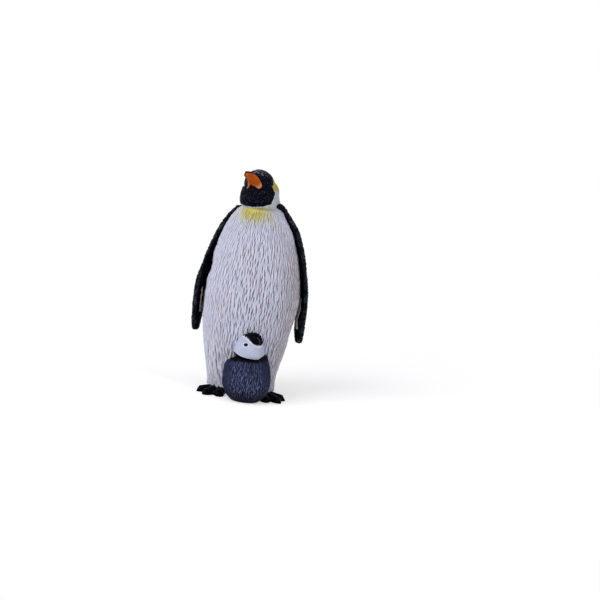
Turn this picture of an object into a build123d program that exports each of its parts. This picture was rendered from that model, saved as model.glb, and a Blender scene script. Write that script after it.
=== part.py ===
from build123d import *
import os
from math import cos, radians, sin

# Penguin figurine: an adult penguin that stands with a chick in front of its feet.
# Millimetres, +Z up, origin on the table under the middle of the whole figure.
# The adult faces -Y and its left side is +X.
# Every piece is a moulding with a peg that is glued in a socket of its neighbour.

# Fits
PEG_GAP = 0.1  # room round a peg in its socket
SOCKET_ROOM = 0.3  # room past the end of a peg
SEAT_GAP = 0.2  # between carved faces that lie against each other

# Adult body, by level sections from the hem up: rise above the section below, half width,
# and reach to the front and to the back of the body's axis
BODY_Y = 2.75
HEM_HEIGHT = 3.0
HEM_HALF_WIDTH = 13.0
HEM_FRONT = 10.5
HEM_BACK = 11.5
THIGH_RISE = 12.0
THIGH_HALF_WIDTH = 15.4
THIGH_SHIFT = 0.4  # to the bird's right
THIGH_FRONT = 14.5
THIGH_BACK = 13.5
BELLY_RISE = 19.2
BELLY_HALF_WIDTH = 18.6
BELLY_FRONT = 17.5
BELLY_BACK = 14.5
CHEST_RISE = 19.0
CHEST_HALF_WIDTH = 16.8
CHEST_FRONT = 15.5
CHEST_BACK = 13.0
SHOULDER_RISE = 12.0
SHOULDER_HALF_WIDTH = 12.5
SHOULDER_FRONT = 11.4
SHOULDER_BACK = 10.4
NECK_RISE = 8.8
NECK_HALF_WIDTH = 8.0
NECK_FRONT = 8.0
NECK_BACK = 7.8
HEM_ROUND = 0.7

# Body shells and the core inside them
WALL = 2.4
SEAM_BEHIND_AXIS = 1.0
TONGUE_THICKNESS = 0.8
TONGUE_HEIGHT = 1.0
CORE_GAP = 0.15

# Head: the neck swells at the throat, narrows past the jaw and runs into the skull
NECK_PEG_RADIUS = 4.0
NECK_PEG_FLAT = 3.0  # from the peg's axis to its keying flat
NECK_PEG_LENGTH = 6.0
THROAT_RISE = 3.2  # above the neck's seat
THROAT_HALF_WIDTH = 8.0
THROAT_FRONT = 8.6
THROAT_BACK = 7.4
THROAT_SHIFT = 0.8  # to the side that the bird looks to
JAW_RISE = 4.4  # above the throat
JAW_HALF_WIDTH = 7.0
JAW_REACH = 6.4
JAW_SHIFT = 1.0
EAR_RISE = 3.6  # above the jaw
EAR_RADIUS = 5.0
HEAD_SHIFT = 2.0  # of ear and skull
HEAD_FORWARD = 1.2  # of jaw, ear and skull from the body's axis
HEAD_TURN = 22.0  # degrees, to the bird's right
HEAD_LIFT = 26.0  # degrees, beak up
SKULL_RISE = 1.2  # above the jaw
SKULL_HALF_LENGTH = 7.2
SKULL_RADIUS = 5.9
BIB_RAISE = 0.5
BIB_RISE = 0.6  # of its lower edge above the neck's seat
BIB_HALF_ANGLE = 62.0

# Beak, by sections along the line that the head looks: step past the one before, half sizes,
# and drop below the line through the skull's centre
BEAK_ROOT_REACH = 4.2  # from the skull's centre
BEAK_ROOT_HALF_WIDTH = 3.8
BEAK_ROOT_HALF_HEIGHT = 3.1
BEAK_ROOT_DROP = 1.5
BEAK_MIDDLE_STEP = 3.4
BEAK_MIDDLE_HALF_WIDTH = 2.6
BEAK_MIDDLE_HALF_HEIGHT = 2.1
BEAK_MIDDLE_DROP = 0.9
BEAK_TIP_STEP = 6.4
BEAK_TIP_HALF_WIDTH = 0.65
BEAK_TIP_HALF_HEIGHT = 0.85
BEAK_TIP_DROP = 1.85

# Flippers: each section stands off the body's half width at the same height
FLIPPER_TOP_DROP = 0.2  # below the neck's seat
FLIPPER_TOP_STAND_OFF = 0.5
FLIPPER_TOP_THICKNESS = 2.6
FLIPPER_TOP_CHORD = 5.0
FLIPPER_SHOULDER_STAND_OFF = 1.55
FLIPPER_SHOULDER_CHORD = 9.0
FLIPPER_CHEST_STAND_OFF = 1.35
FLIPPER_CHEST_CHORD = 12.0
FLIPPER_BELLY_STAND_OFF = 2.0
FLIPPER_BELLY_CHORD = 10.5
FLIPPER_THICKNESS = 3.4
FLIPPER_END_DROP = 9.5  # below the belly section
FLIPPER_END_STAND_OFF = 2.3
FLIPPER_END_CHORD = 6.0
FLIPPER_END_THICKNESS = 3.2
FLIPPER_TIP_DROP = 2.7  # below the end section
FLIPPER_TIP_THICKNESS = 2.4
FLIPPER_TIP_CHORD = 3.8
FLIPPER_TIP_ROUND = 0.9
FLIPPER_SWEEP = 3.0  # how far the tip lies behind the top
FLIPPER_TWIST = 12.0  # degrees, the rear edge towards the body
FLIPPER_PEG_RADIUS = 1.6
FLIPPER_PEG_DEPTH = 2.6  # inside the body

# Feet: an ankle under the hem and three webbed toes, tips measured from the ankle
ANKLE_INSET = 5.0  # of the ankle inside the hem's half width
ANKLE_FORWARD = 2.0  # of the body's axis
ANKLE_RADIUS = 3.6
ANKLE_PEG_RADIUS = 2.2
OUTER_TOE_OUT = 6.8
OUTER_TOE_FORWARD = 7.4
MIDDLE_TOE_OUT = 4.0
MIDDLE_TOE_FORWARD = 12.5
INNER_TOE_IN = 1.0
INNER_TOE_FORWARD = 12.5
TOE_ROOT_HALF_WIDTH = 2.8
TOE_ROOT_HEIGHT = 2.9
TOE_HALF_WIDTH = 1.9
TOE_HEIGHT = 2.4
WEB_HEIGHT = 1.5
WEB_BACK_SET = 2.6  # of the web's edge from the ends of the toes
CLAW_LENGTH = 1.7
CLAW_HALF_WIDTH = 0.6
CLAW_HEIGHT = 0.7
LEFT_FOOT_TURN = 20.0  # degrees, toes out from where the right foot's mirror points

# Tail: a wedge that leans back from the body down to the table, by sections placed from the thigh's back
TAIL_ROOT_INSET = 4.5  # under the thigh's back
TAIL_ROOT_HALF_WIDTH = 7.0
TAIL_ROOT_HALF_HEIGHT = 5.0
TAIL_ROOT_HEIGHT = 8.5
TAIL_MIDDLE_REACH = 1.5
TAIL_MIDDLE_HALF_WIDTH = 6.0
TAIL_MIDDLE_HALF_HEIGHT = 3.4
TAIL_MIDDLE_HEIGHT = 4.4
TAIL_TIP_STEP = 5.0  # past the middle
TAIL_TIP_HALF_WIDTH = 3.6
TAIL_TIP_HALF_HEIGHT = 1.3
TAIL_TIP_HEIGHT = 1.0
TAIL_PEG_RADIUS = 2.0
TAIL_PEG_HEIGHT = 7.0
TAIL_PEG_DEPTH = 4.0  # inside the thigh's back
TAIL_PEG_LENGTH = 3.8

# Chick body, by level sections from its base up: rise above the section below
CHICK_X = 3.2
CHICK_STAND_OFF = 1.6  # of its axis from the front of the adult's thigh
CHICK_BASE_RADIUS = 5.2
CHICK_HIP_RISE = 2.6
CHICK_HIP_RADIUS = 7.8
CHICK_RUMP_RISE = 3.8
CHICK_RUMP_HALF_WIDTH = 9.2
CHICK_BREAST_RISE = 3.8
CHICK_BREAST_HALF_WIDTH = 9.2
CHICK_BREAST_REACH = 9.4
CHICK_COLLAR_RISE = 4.6
CHICK_COLLAR_RADIUS = 8.2
CHICK_NECK_RISE = 2.4
CHICK_NECK_RADIUS = 6.6
CHICK_PEG_HEIGHT = 10.5
CHICK_PEG_RADIUS = 2.0
CHICK_PEG_DEPTH = 4.5  # inside the thigh's front
CHICK_PEG_LENGTH = 7.0
WING_HEIGHT = 9.4
WING_HALF_HEIGHT = 5.0
WING_HALF_WIDTH = 1.6
WING_HALF_CHORD = 3.2
WING_INSET = 1.4  # of its middle under the side of the breast
WING_FORWARD = 1.5
WING_POINT_RADIUS = 0.8
WING_SHOULDER_RADIUS = 1.5
WING_LEAN = 1.6  # of its shoulder towards the neck

# Chick head
CHICK_HEAD_FORWARD = 1.05  # of the chick's axis
CHICK_HEAD_RISE = 2.1  # of its widest level above the neck
CHICK_HEAD_RADIUS = 6.4
CHICK_CROWN_RISE = 7.1  # above the widest level
CHIN_ROUND = 1.8
CHICK_NECK_PEG_RADIUS = 2.0
CHICK_NECK_PEG_LENGTH = 3.5
BILL_TURN = 49.0  # degrees, to the chick's left
BILL_LIFT = 3.0  # degrees
BILL_RISE = 3.8  # above the head's widest level
BILL_RADIUS = 1.5
BILL_TIP_RADIUS = 0.5
BILL_ROOT_REACH = 3.5  # from the head's axis, inside the face
BILL_LENGTH = 2.8

# Places worked out from the sizes above
THIGH_HEIGHT = HEM_HEIGHT + THIGH_RISE
BELLY_HEIGHT = THIGH_HEIGHT + BELLY_RISE
CHEST_HEIGHT = BELLY_HEIGHT + CHEST_RISE
SHOULDER_HEIGHT = CHEST_HEIGHT + SHOULDER_RISE
NECK_HEIGHT = SHOULDER_HEIGHT + NECK_RISE
THROAT_HEIGHT = NECK_HEIGHT + THROAT_RISE
JAW_HEIGHT = THROAT_HEIGHT + JAW_RISE
EAR_HEIGHT = JAW_HEIGHT + EAR_RISE
CHICK_RUMP_HEIGHT = CHICK_HIP_RISE + CHICK_RUMP_RISE
CHICK_BREAST_HEIGHT = CHICK_RUMP_HEIGHT + CHICK_BREAST_RISE
CHICK_COLLAR_HEIGHT = CHICK_BREAST_HEIGHT + CHICK_COLLAR_RISE
CHICK_NECK_HEIGHT = CHICK_COLLAR_HEIGHT + CHICK_NECK_RISE
SEAM_Y = BODY_Y + SEAM_BEHIND_AXIS
FLOOR_TOP = HEM_HEIGHT + WALL
CAVITY_TOP = NECK_HEIGHT - NECK_PEG_LENGTH - SOCKET_ROOM - WALL
THIGH_FRONT_Y = BODY_Y - THIGH_FRONT
THIGH_BACK_Y = BODY_Y + THIGH_BACK
ANKLE = Vector(HEM_HALF_WIDTH - ANKLE_INSET, BODY_Y - ANKLE_FORWARD)
CHICK_Y = THIGH_FRONT_Y - CHICK_STAND_OFF
CHICK_HEAD_CENTRE = Vector(CHICK_X, CHICK_Y - CHICK_HEAD_FORWARD, CHICK_NECK_HEIGHT + CHICK_HEAD_RISE)
HEAD_Y = BODY_Y - HEAD_FORWARD
SKULL_CENTRE = Vector(-HEAD_SHIFT, HEAD_Y, JAW_HEIGHT + SKULL_RISE)
BODY_SECTIONS = [
    (0, HEM_HEIGHT, HEM_HALF_WIDTH, HEM_FRONT, HEM_BACK),
    (-THIGH_SHIFT, THIGH_HEIGHT, THIGH_HALF_WIDTH, THIGH_FRONT, THIGH_BACK),
    (0, BELLY_HEIGHT, BELLY_HALF_WIDTH, BELLY_FRONT, BELLY_BACK),
    (0, CHEST_HEIGHT, CHEST_HALF_WIDTH, CHEST_FRONT, CHEST_BACK),
    (0, SHOULDER_HEIGHT, SHOULDER_HALF_WIDTH, SHOULDER_FRONT, SHOULDER_BACK),
    (0, NECK_HEIGHT, NECK_HALF_WIDTH, NECK_FRONT, NECK_BACK),
]


def tower(sections, turn=0.0):
    """Smooth solid through level ovals, turned about their middles.

    Each is given by x, y, height, half width, reach to the front and reach to the back."""
    across = (cos(radians(turn)), sin(radians(turn)), 0)
    with BuildPart() as solid:
        for x, y, height, half_width, front, back in sections:
            with BuildSketch(Plane((x, y, height), x_dir=across)):
                with BuildLine():
                    for start, reach in [(0, back), (90, back), (180, front), (270, front)]:
                        EllipticalCenterArc((0, 0), half_width, reach, start, arc_size=90)
                make_face()
        loft()
    return solid.part


def body_form(grow=0.0):
    """Adult body as one solid, grown outwards all round."""
    return tower([(x, BODY_Y, z, w + grow, f + grow, b + grow) for x, z, w, f, b in BODY_SECTIONS])


def neck_form(grow=0.0):
    """Neck from its seat on the body up into the skull, grown outwards all round."""
    seat = (NECK_HALF_WIDTH + grow, NECK_FRONT + grow, NECK_BACK + grow)
    throat = (THROAT_HALF_WIDTH + grow, THROAT_FRONT + grow, THROAT_BACK + grow)
    jaw = (JAW_HALF_WIDTH + grow, JAW_REACH + grow, JAW_REACH + grow)
    ear = (EAR_RADIUS + grow, EAR_RADIUS + grow, EAR_RADIUS + grow)
    return tower(
        [
            (0, BODY_Y, NECK_HEIGHT, *seat),
            (-THROAT_SHIFT, (BODY_Y + HEAD_Y) / 2, THROAT_HEIGHT, *throat),
            (-JAW_SHIFT, HEAD_Y, JAW_HEIGHT, *jaw),
            (-HEAD_SHIFT, HEAD_Y, EAR_HEIGHT, *ear),
        ]
    )


def level_slice(solid, low, high):
    """Part of a solid between two heights."""
    with BuildPart() as cut:
        add(solid)
        split(bisect_by=Plane.XY.offset(low), keep=Keep.TOP)
        split(bisect_by=Plane.XY.offset(high), keep=Keep.BOTTOM)
    return cut.part


def look_line(turn, lift):
    """Direction of a head that is turned towards +X and lifted, in degrees."""
    level = cos(radians(lift))
    return Vector(sin(radians(turn)) * level, -cos(radians(turn)) * level, sin(radians(lift)))


def pin(plane, radius, length):
    """Round peg that starts on a plane and runs along its normal."""
    with BuildPart() as solid:
        with BuildSketch(plane):
            Circle(radius)
        extrude(amount=length)
    return solid.part


def socket(plane, radius, length):
    """Socket for a peg: wider all round, and deeper at the end that the plane marks."""
    return pin(plane.offset(-SOCKET_ROOM), radius + PEG_GAP, length + SOCKET_ROOM)


def neck_key(gap=0.0, end_room=0.0):
    """Neck peg with a flat that keeps the head from turning, or its socket."""
    with BuildPart() as solid:
        with BuildSketch(Plane((0, BODY_Y, NECK_HEIGHT))):
            Circle(NECK_PEG_RADIUS + gap)
            with Locations((0, NECK_PEG_FLAT + gap)):
                over_flat = (Align.CENTER, Align.MIN)
                Rectangle(2 * NECK_PEG_RADIUS, NECK_PEG_RADIUS, align=over_flat, mode=Mode.SUBTRACT)
        extrude(amount=-NECK_PEG_LENGTH - end_room)
    return solid.part


def seam_tongue(gap=0.0, end_room=0.0):
    """Ridge along the middle of the wall at the seam, on both flanks, or its groove."""
    outer = (WALL - TONGUE_THICKNESS) / 2 - gap
    inner = (WALL + TONGUE_THICKNESS) / 2 + gap
    with BuildPart() as ridge:
        add(level_slice(body_form(-outer), FLOOR_TOP, CAVITY_TOP))
        add(body_form(-inner), mode=Mode.SUBTRACT)
        split(bisect_by=Plane.XZ.offset(TONGUE_HEIGHT - SEAM_Y), keep=Keep.BOTTOM)
        split(bisect_by=Plane.XZ.offset(-SEAM_Y - TONGUE_HEIGHT - end_room), keep=Keep.TOP)
    return ridge.part


def foot_form(turn=0.0, grow=0.0):
    """Left foot with its toes turned out, grown all round: three tapering toes, their web and the ankle."""
    toes = [
        Vector(OUTER_TOE_OUT, -OUTER_TOE_FORWARD).rotate(Axis.Z, turn),
        Vector(MIDDLE_TOE_OUT, -MIDDLE_TOE_FORWARD).rotate(Axis.Z, turn),
        Vector(-INNER_TOE_IN, -INNER_TOE_FORWARD).rotate(Axis.Z, turn),
    ]
    with BuildPart() as foot:
        for toe in toes:
            ahead = toe.normalized()
            across = ahead.cross(Vector(0, 0, 1))
            for along, half_width, height in [
                (0, TOE_ROOT_HALF_WIDTH, TOE_ROOT_HEIGHT),
                (toe.length, TOE_HALF_WIDTH, TOE_HEIGHT),
                (toe.length + CLAW_LENGTH + grow, CLAW_HALF_WIDTH, CLAW_HEIGHT),
            ]:
                with BuildSketch(Plane(ANKLE + ahead * along, x_dir=across, z_dir=ahead)):
                    Ellipse(half_width + grow, height + grow)
            loft(ruled=True)
        split(bisect_by=Plane.XY, keep=Keep.TOP)
        with BuildSketch():
            with Locations(ANKLE):
                Circle(ANKLE_RADIUS + grow)
            for toe in toes:
                with Locations(ANKLE + toe - toe.normalized() * WEB_BACK_SET):
                    Circle(TOE_HALF_WIDTH + grow)
            make_hull()
        extrude(amount=WEB_HEIGHT + grow)
        with BuildSketch():
            with Locations(ANKLE):
                Circle(ANKLE_RADIUS + grow)
        extrude(amount=HEM_HEIGHT)
    return foot.part


def chick_wing(side):
    """Small wing that lies along the chick's side, half sunk in it."""
    x = CHICK_X + side * (CHICK_BREAST_HALF_WIDTH - WING_INSET)
    y = CHICK_Y - WING_FORWARD
    point = (WING_POINT_RADIUS, WING_POINT_RADIUS, WING_POINT_RADIUS)
    middle = (WING_HALF_WIDTH, WING_HALF_CHORD, WING_HALF_CHORD)
    shoulder = (WING_SHOULDER_RADIUS, WING_SHOULDER_RADIUS, WING_SHOULDER_RADIUS)
    return tower(
        [
            (x, y, WING_HEIGHT - WING_HALF_HEIGHT, *point),
            (x, y, WING_HEIGHT, *middle),
            (x - side * WING_LEAN, y, WING_HEIGHT + WING_HALF_HEIGHT, *shoulder),
        ]
    )


# Pegs start at their deep ends
FLIPPER_PEG_HEIGHT = (CHEST_HEIGHT + SHOULDER_HEIGHT) / 2
FLIPPER_PEG_X = (CHEST_HALF_WIDTH + SHOULDER_HALF_WIDTH) / 2 - FLIPPER_PEG_DEPTH
FLIPPER_PEG_LENGTH = FLIPPER_PEG_DEPTH + (FLIPPER_CHEST_STAND_OFF + FLIPPER_SHOULDER_STAND_OFF) / 2
FLIPPER_PEG_PLANE = Plane((FLIPPER_PEG_X, SEAM_Y, FLIPPER_PEG_HEIGHT), z_dir=(1, 0, 0))
ANKLE_PEG_PLANE = Plane(ANKLE + Vector(0, 0, FLOOR_TOP - SOCKET_ROOM), z_dir=(0, 0, -1))
TAIL_PEG_PLANE = Plane((0, THIGH_BACK_Y - TAIL_PEG_DEPTH, TAIL_PEG_HEIGHT), z_dir=(0, 1, 0))
CHICK_PEG_PLANE = Plane((CHICK_X, THIGH_FRONT_Y + CHICK_PEG_DEPTH, CHICK_PEG_HEIGHT), z_dir=(0, -1, 0))
CHICK_NECK_PEG_PLANE = Plane(
    (CHICK_X, CHICK_HEAD_CENTRE.Y, CHICK_NECK_HEIGHT - CHICK_NECK_PEG_LENGTH), z_dir=(0, 0, 1)
)
FLIPPER_SOCKET = socket(FLIPPER_PEG_PLANE, FLIPPER_PEG_RADIUS, FLIPPER_PEG_LENGTH)
ANKLE_SOCKET = socket(ANKLE_PEG_PLANE, ANKLE_PEG_RADIUS, WALL)
SOCKETS = [
    neck_key(PEG_GAP, SOCKET_ROOM),
    FLIPPER_SOCKET,
    mirror(FLIPPER_SOCKET, about=Plane.YZ),
    ANKLE_SOCKET,
    mirror(ANKLE_SOCKET, about=Plane.YZ),
    socket(TAIL_PEG_PLANE, TAIL_PEG_RADIUS, TAIL_PEG_LENGTH),
    socket(CHICK_PEG_PLANE, CHICK_PEG_RADIUS, CHICK_PEG_LENGTH),
]
BODY_ENVELOPE = body_form(SEAT_GAP)

# Hollow body, before it is parted at the seam
with BuildPart() as hollow_body:
    add(body_form())
    fillet(hollow_body.faces().sort_by(Axis.Z)[0].edges(), HEM_ROUND)
    add(level_slice(body_form(-WALL), FLOOR_TOP, CAVITY_TOP), mode=Mode.SUBTRACT)

# White front of the body, with the tongue along its seam
with BuildPart() as belly_shell:
    add(hollow_body.part)
    split(bisect_by=Plane.XZ.offset(-SEAM_Y), keep=Keep.TOP)
    add(seam_tongue())
    add(SOCKETS, mode=Mode.SUBTRACT)

# Black back of the body, with the groove
with BuildPart() as back_shell:
    add(hollow_body.part)
    split(bisect_by=Plane.XZ.offset(-SEAM_Y), keep=Keep.BOTTOM)
    add(seam_tongue(PEG_GAP, SOCKET_ROOM), mode=Mode.SUBTRACT)
    add(SOCKETS, mode=Mode.SUBTRACT)

# Core that fills the hollow body and stands on its floor
with BuildPart() as body_core:
    add(level_slice(body_form(-WALL - CORE_GAP), FLOOR_TOP, CAVITY_TOP - CORE_GAP))
    add(SOCKETS, mode=Mode.SUBTRACT)

# Raised throat patch: the front of a thicker neck, between two upright planes through the neck's axis
with BuildPart() as bib:
    add(level_slice(neck_form(BIB_RAISE), NECK_HEIGHT + BIB_RISE, JAW_HEIGHT))
    for edge in (-1, 1):
        bearing = radians(HEAD_TURN + edge * BIB_HALF_ANGLE)
        out = (-edge * cos(bearing), edge * sin(bearing), 0)
        split(bisect_by=Plane((0, BODY_Y, 0), z_dir=out), keep=Keep.BOTTOM)

# Head: neck, throat patch, skull as an ellipsoid along the line it looks, beak and neck peg
look = look_line(-HEAD_TURN, HEAD_LIFT)
look_up = look_line(-HEAD_TURN, HEAD_LIFT + 90)
look_side = look.cross(look_up)
with BuildPart() as head:
    add(neck_form())
    add(bib.part)
    with BuildSketch(Plane(SKULL_CENTRE, x_dir=look, z_dir=look_side)):
        with BuildLine():
            EllipticalCenterArc((0, 0), SKULL_HALF_LENGTH, SKULL_RADIUS, 0, arc_size=180)
            Line((-SKULL_HALF_LENGTH, 0), (SKULL_HALF_LENGTH, 0))
        make_face()
    revolve(axis=Axis(SKULL_CENTRE, look))
    beak_line = SKULL_CENTRE
    for step, drop, half_width, half_height in [
        (BEAK_ROOT_REACH, BEAK_ROOT_DROP, BEAK_ROOT_HALF_WIDTH, BEAK_ROOT_HALF_HEIGHT),
        (BEAK_MIDDLE_STEP, BEAK_MIDDLE_DROP, BEAK_MIDDLE_HALF_WIDTH, BEAK_MIDDLE_HALF_HEIGHT),
        (BEAK_TIP_STEP, BEAK_TIP_DROP, BEAK_TIP_HALF_WIDTH, BEAK_TIP_HALF_HEIGHT),
    ]:
        beak_line = beak_line + look * step
        with BuildSketch(Plane(beak_line - look_up * drop, x_dir=look_side, z_dir=look)):
            Ellipse(half_width, half_height)
    loft()
    add(neck_key())

# Flippers: level ovals that fall back evenly from the top to the tip, the right one a mirror of the left
flipper_top = NECK_HEIGHT - FLIPPER_TOP_DROP
flipper_end = BELLY_HEIGHT - FLIPPER_END_DROP
flipper_tip = flipper_end - FLIPPER_TIP_DROP
end_x = BELLY_HALF_WIDTH + FLIPPER_END_STAND_OFF
shoulder_x = SHOULDER_HALF_WIDTH + FLIPPER_SHOULDER_STAND_OFF
flipper_sections = [
    (flipper_top, NECK_HALF_WIDTH + FLIPPER_TOP_STAND_OFF, FLIPPER_TOP_THICKNESS, FLIPPER_TOP_CHORD),
    (SHOULDER_HEIGHT, shoulder_x, FLIPPER_THICKNESS, FLIPPER_SHOULDER_CHORD),
    (CHEST_HEIGHT, CHEST_HALF_WIDTH + FLIPPER_CHEST_STAND_OFF, FLIPPER_THICKNESS, FLIPPER_CHEST_CHORD),
    (BELLY_HEIGHT, BELLY_HALF_WIDTH + FLIPPER_BELLY_STAND_OFF, FLIPPER_THICKNESS, FLIPPER_BELLY_CHORD),
    (flipper_end, end_x, FLIPPER_END_THICKNESS, FLIPPER_END_CHORD),
    (flipper_tip, end_x, FLIPPER_TIP_THICKNESS, FLIPPER_TIP_CHORD),
]
paddle_sections = []
for height, x, thickness, chord in flipper_sections:
    y = SEAM_Y + FLIPPER_SWEEP * (flipper_top - height) / (flipper_top - flipper_tip)
    paddle_sections.append((x, y, height, thickness / 2, chord / 2, chord / 2))

with BuildPart() as left_flipper:
    add(tower(paddle_sections, FLIPPER_TWIST))
    fillet(left_flipper.faces().sort_by(Axis.Z)[0].edges(), FLIPPER_TIP_ROUND)
    add([BODY_ENVELOPE, neck_form(BIB_RAISE + SEAT_GAP)], mode=Mode.SUBTRACT)
    add(pin(FLIPPER_PEG_PLANE, FLIPPER_PEG_RADIUS, FLIPPER_PEG_LENGTH))

with BuildPart() as right_flipper:
    mirror(left_flipper.part, about=Plane.YZ)

# Feet, with a peg up through the body's floor
ankle_peg = pin(ANKLE_PEG_PLANE, ANKLE_PEG_RADIUS, WALL)
with BuildPart() as left_foot:
    add(foot_form(LEFT_FOOT_TURN))
    add(ankle_peg)

with BuildPart() as right_foot:
    mirror(foot_form(), about=Plane.YZ)
    mirror(ankle_peg, about=Plane.YZ)

# Tail, cut flat where it rests on the table
tail_tip_reach = TAIL_MIDDLE_REACH + TAIL_TIP_STEP
with BuildPart() as tail:
    for reach, half_width, half_height, height in [
        (-TAIL_ROOT_INSET, TAIL_ROOT_HALF_WIDTH, TAIL_ROOT_HALF_HEIGHT, TAIL_ROOT_HEIGHT),
        (TAIL_MIDDLE_REACH, TAIL_MIDDLE_HALF_WIDTH, TAIL_MIDDLE_HALF_HEIGHT, TAIL_MIDDLE_HEIGHT),
        (tail_tip_reach, TAIL_TIP_HALF_WIDTH, TAIL_TIP_HALF_HEIGHT, TAIL_TIP_HEIGHT),
    ]:
        with BuildSketch(Plane((0, THIGH_BACK_Y + reach, height), x_dir=(1, 0, 0), z_dir=(0, 1, 0))):
            Ellipse(half_width, half_height)
    loft()
    split(bisect_by=Plane.XY, keep=Keep.TOP)
    add(BODY_ENVELOPE, mode=Mode.SUBTRACT)
    add(pin(TAIL_PEG_PLANE, TAIL_PEG_RADIUS, TAIL_PEG_LENGTH))

# Chick body: its back fits the adult's belly and its base fits over the adult's toes
chick_sections = [
    (0, CHICK_BASE_RADIUS, CHICK_BASE_RADIUS),
    (CHICK_HIP_RISE, CHICK_HIP_RADIUS, CHICK_HIP_RADIUS),
    (CHICK_RUMP_HEIGHT, CHICK_RUMP_HALF_WIDTH, CHICK_BREAST_REACH),
    (CHICK_BREAST_HEIGHT, CHICK_BREAST_HALF_WIDTH, CHICK_BREAST_REACH),
    (CHICK_COLLAR_HEIGHT, CHICK_COLLAR_RADIUS, CHICK_COLLAR_RADIUS),
    (CHICK_NECK_HEIGHT, CHICK_NECK_RADIUS, CHICK_NECK_RADIUS),
]
toe_rooms = [foot_form(LEFT_FOOT_TURN, SEAT_GAP), mirror(foot_form(0, SEAT_GAP), about=Plane.YZ)]
with BuildPart() as chick_body:
    add(tower([(CHICK_X, CHICK_Y, z, half_width, reach, reach) for z, half_width, reach in chick_sections]))
    add([chick_wing(-1), chick_wing(1)])
    add([BODY_ENVELOPE, *toe_rooms], mode=Mode.SUBTRACT)
    add(pin(CHICK_PEG_PLANE, CHICK_PEG_RADIUS, CHICK_PEG_LENGTH))
    add(socket(CHICK_NECK_PEG_PLANE, CHICK_NECK_PEG_RADIUS, CHICK_NECK_PEG_LENGTH), mode=Mode.SUBTRACT)

# Chick head: a round head with full cheeks and a short bill, cut flat on its neck and to the adult's belly
bill_look = look_line(BILL_TURN, BILL_LIFT)
bill_root = CHICK_HEAD_CENTRE + Vector(0, 0, BILL_RISE) + bill_look * BILL_ROOT_REACH
with BuildPart() as chick_head:
    with BuildSketch(Plane(CHICK_HEAD_CENTRE, x_dir=(1, 0, 0), z_dir=(0, -1, 0))):
        with BuildLine():
            EllipticalCenterArc((0, 0), CHICK_HEAD_RADIUS, CHICK_CROWN_RISE, -90, arc_size=180)
            Line((0, -CHICK_CROWN_RISE), (0, CHICK_CROWN_RISE))
        make_face()
    revolve(axis=Axis(CHICK_HEAD_CENTRE, (0, 0, 1)))
    split(bisect_by=Plane.XY.offset(CHICK_NECK_HEIGHT), keep=Keep.TOP)
    fillet(chick_head.faces().sort_by(Axis.Z)[0].edges(), CHIN_ROUND)
    for along, radius in [(0, BILL_RADIUS), (BILL_LENGTH, BILL_TIP_RADIUS)]:
        with BuildSketch(Plane(bill_root + bill_look * along, z_dir=bill_look)):
            Circle(radius)
    loft()
    add(BODY_ENVELOPE, mode=Mode.SUBTRACT)
    add(pin(CHICK_NECK_PEG_PLANE, CHICK_NECK_PEG_RADIUS, CHICK_NECK_PEG_LENGTH))

pieces = {
    "belly_shell": belly_shell,
    "back_shell": back_shell,
    "body_core": body_core,
    "head": head,
    "left_flipper": left_flipper,
    "right_flipper": right_flipper,
    "left_foot": left_foot,
    "right_foot": right_foot,
    "tail": tail,
    "chick_body": chick_body,
    "chick_head": chick_head,
}
os.makedirs("parts", exist_ok=True)
for name, piece in pieces.items():
    piece.part.label = name
    export_step(piece.part, f"parts/{name}.step")
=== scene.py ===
"""Looks of the penguin figurine with its chick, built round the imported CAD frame."""

import logging
import math
from collections.abc import Sequence
from dataclasses import dataclass, field
from enum import Enum
from functools import cached_property
from typing import ClassVar

import bpy
import numpy as np
from mathutils import Color, Matrix, Vector, noise
from mathutils.bvhtree import BVHTree


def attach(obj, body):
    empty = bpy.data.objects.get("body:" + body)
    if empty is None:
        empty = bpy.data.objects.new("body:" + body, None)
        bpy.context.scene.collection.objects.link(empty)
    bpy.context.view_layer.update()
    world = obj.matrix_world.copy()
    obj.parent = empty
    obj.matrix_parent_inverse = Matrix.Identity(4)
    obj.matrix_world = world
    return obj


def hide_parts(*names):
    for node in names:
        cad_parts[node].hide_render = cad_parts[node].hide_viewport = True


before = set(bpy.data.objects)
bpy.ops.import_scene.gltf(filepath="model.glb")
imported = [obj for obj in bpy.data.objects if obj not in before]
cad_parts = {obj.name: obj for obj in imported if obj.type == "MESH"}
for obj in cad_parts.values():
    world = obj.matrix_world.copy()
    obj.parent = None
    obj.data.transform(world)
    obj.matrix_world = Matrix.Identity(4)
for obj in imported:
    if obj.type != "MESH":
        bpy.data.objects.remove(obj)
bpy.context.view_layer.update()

MM = 0.001
TINY = 1e-6
BODY = "root"
log = logging.getLogger("penguin")

Array = np.ndarray
Socket = bpy.types.NodeSocket
Pair = tuple[float, float]
Place = tuple[float, float, float]
Colour = tuple[float, float, float]
Faces = list[tuple[int, ...]]
Row = tuple[float, ...]
Chart = tuple[Pair, Pair]


class Mask(Enum):
    """Named places on a piece that a coat of paint covers."""

    GROOVE = "groove"
    CREST = "crest"
    BLACK = "black"
    ORANGE = "orange"
    CREAM = "cream"
    YELLOW = "yellow"
    SHADE = "shade"
    WHITE = "white"
    GLOSS = "gloss"


class Cut(Enum):
    """Ways a stroke changes a relief."""

    FEATHER = "feather"
    GROOVE = "groove"


def linear(colour: Colour) -> tuple[float, ...]:
    """A paint colour as seen on a screen, as Blender's linear colour with an alpha of 1."""
    return (*Color(colour).from_srgb_to_scene_linear(), 1.0)


def quads(index: Array) -> Faces:
    """Quads between rows and columns of point numbers."""
    corners = index[:-1, :-1], index[:-1, 1:], index[1:, 1:], index[1:, :-1]
    return list(zip(*(c.ravel().tolist() for c in corners)))


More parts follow.
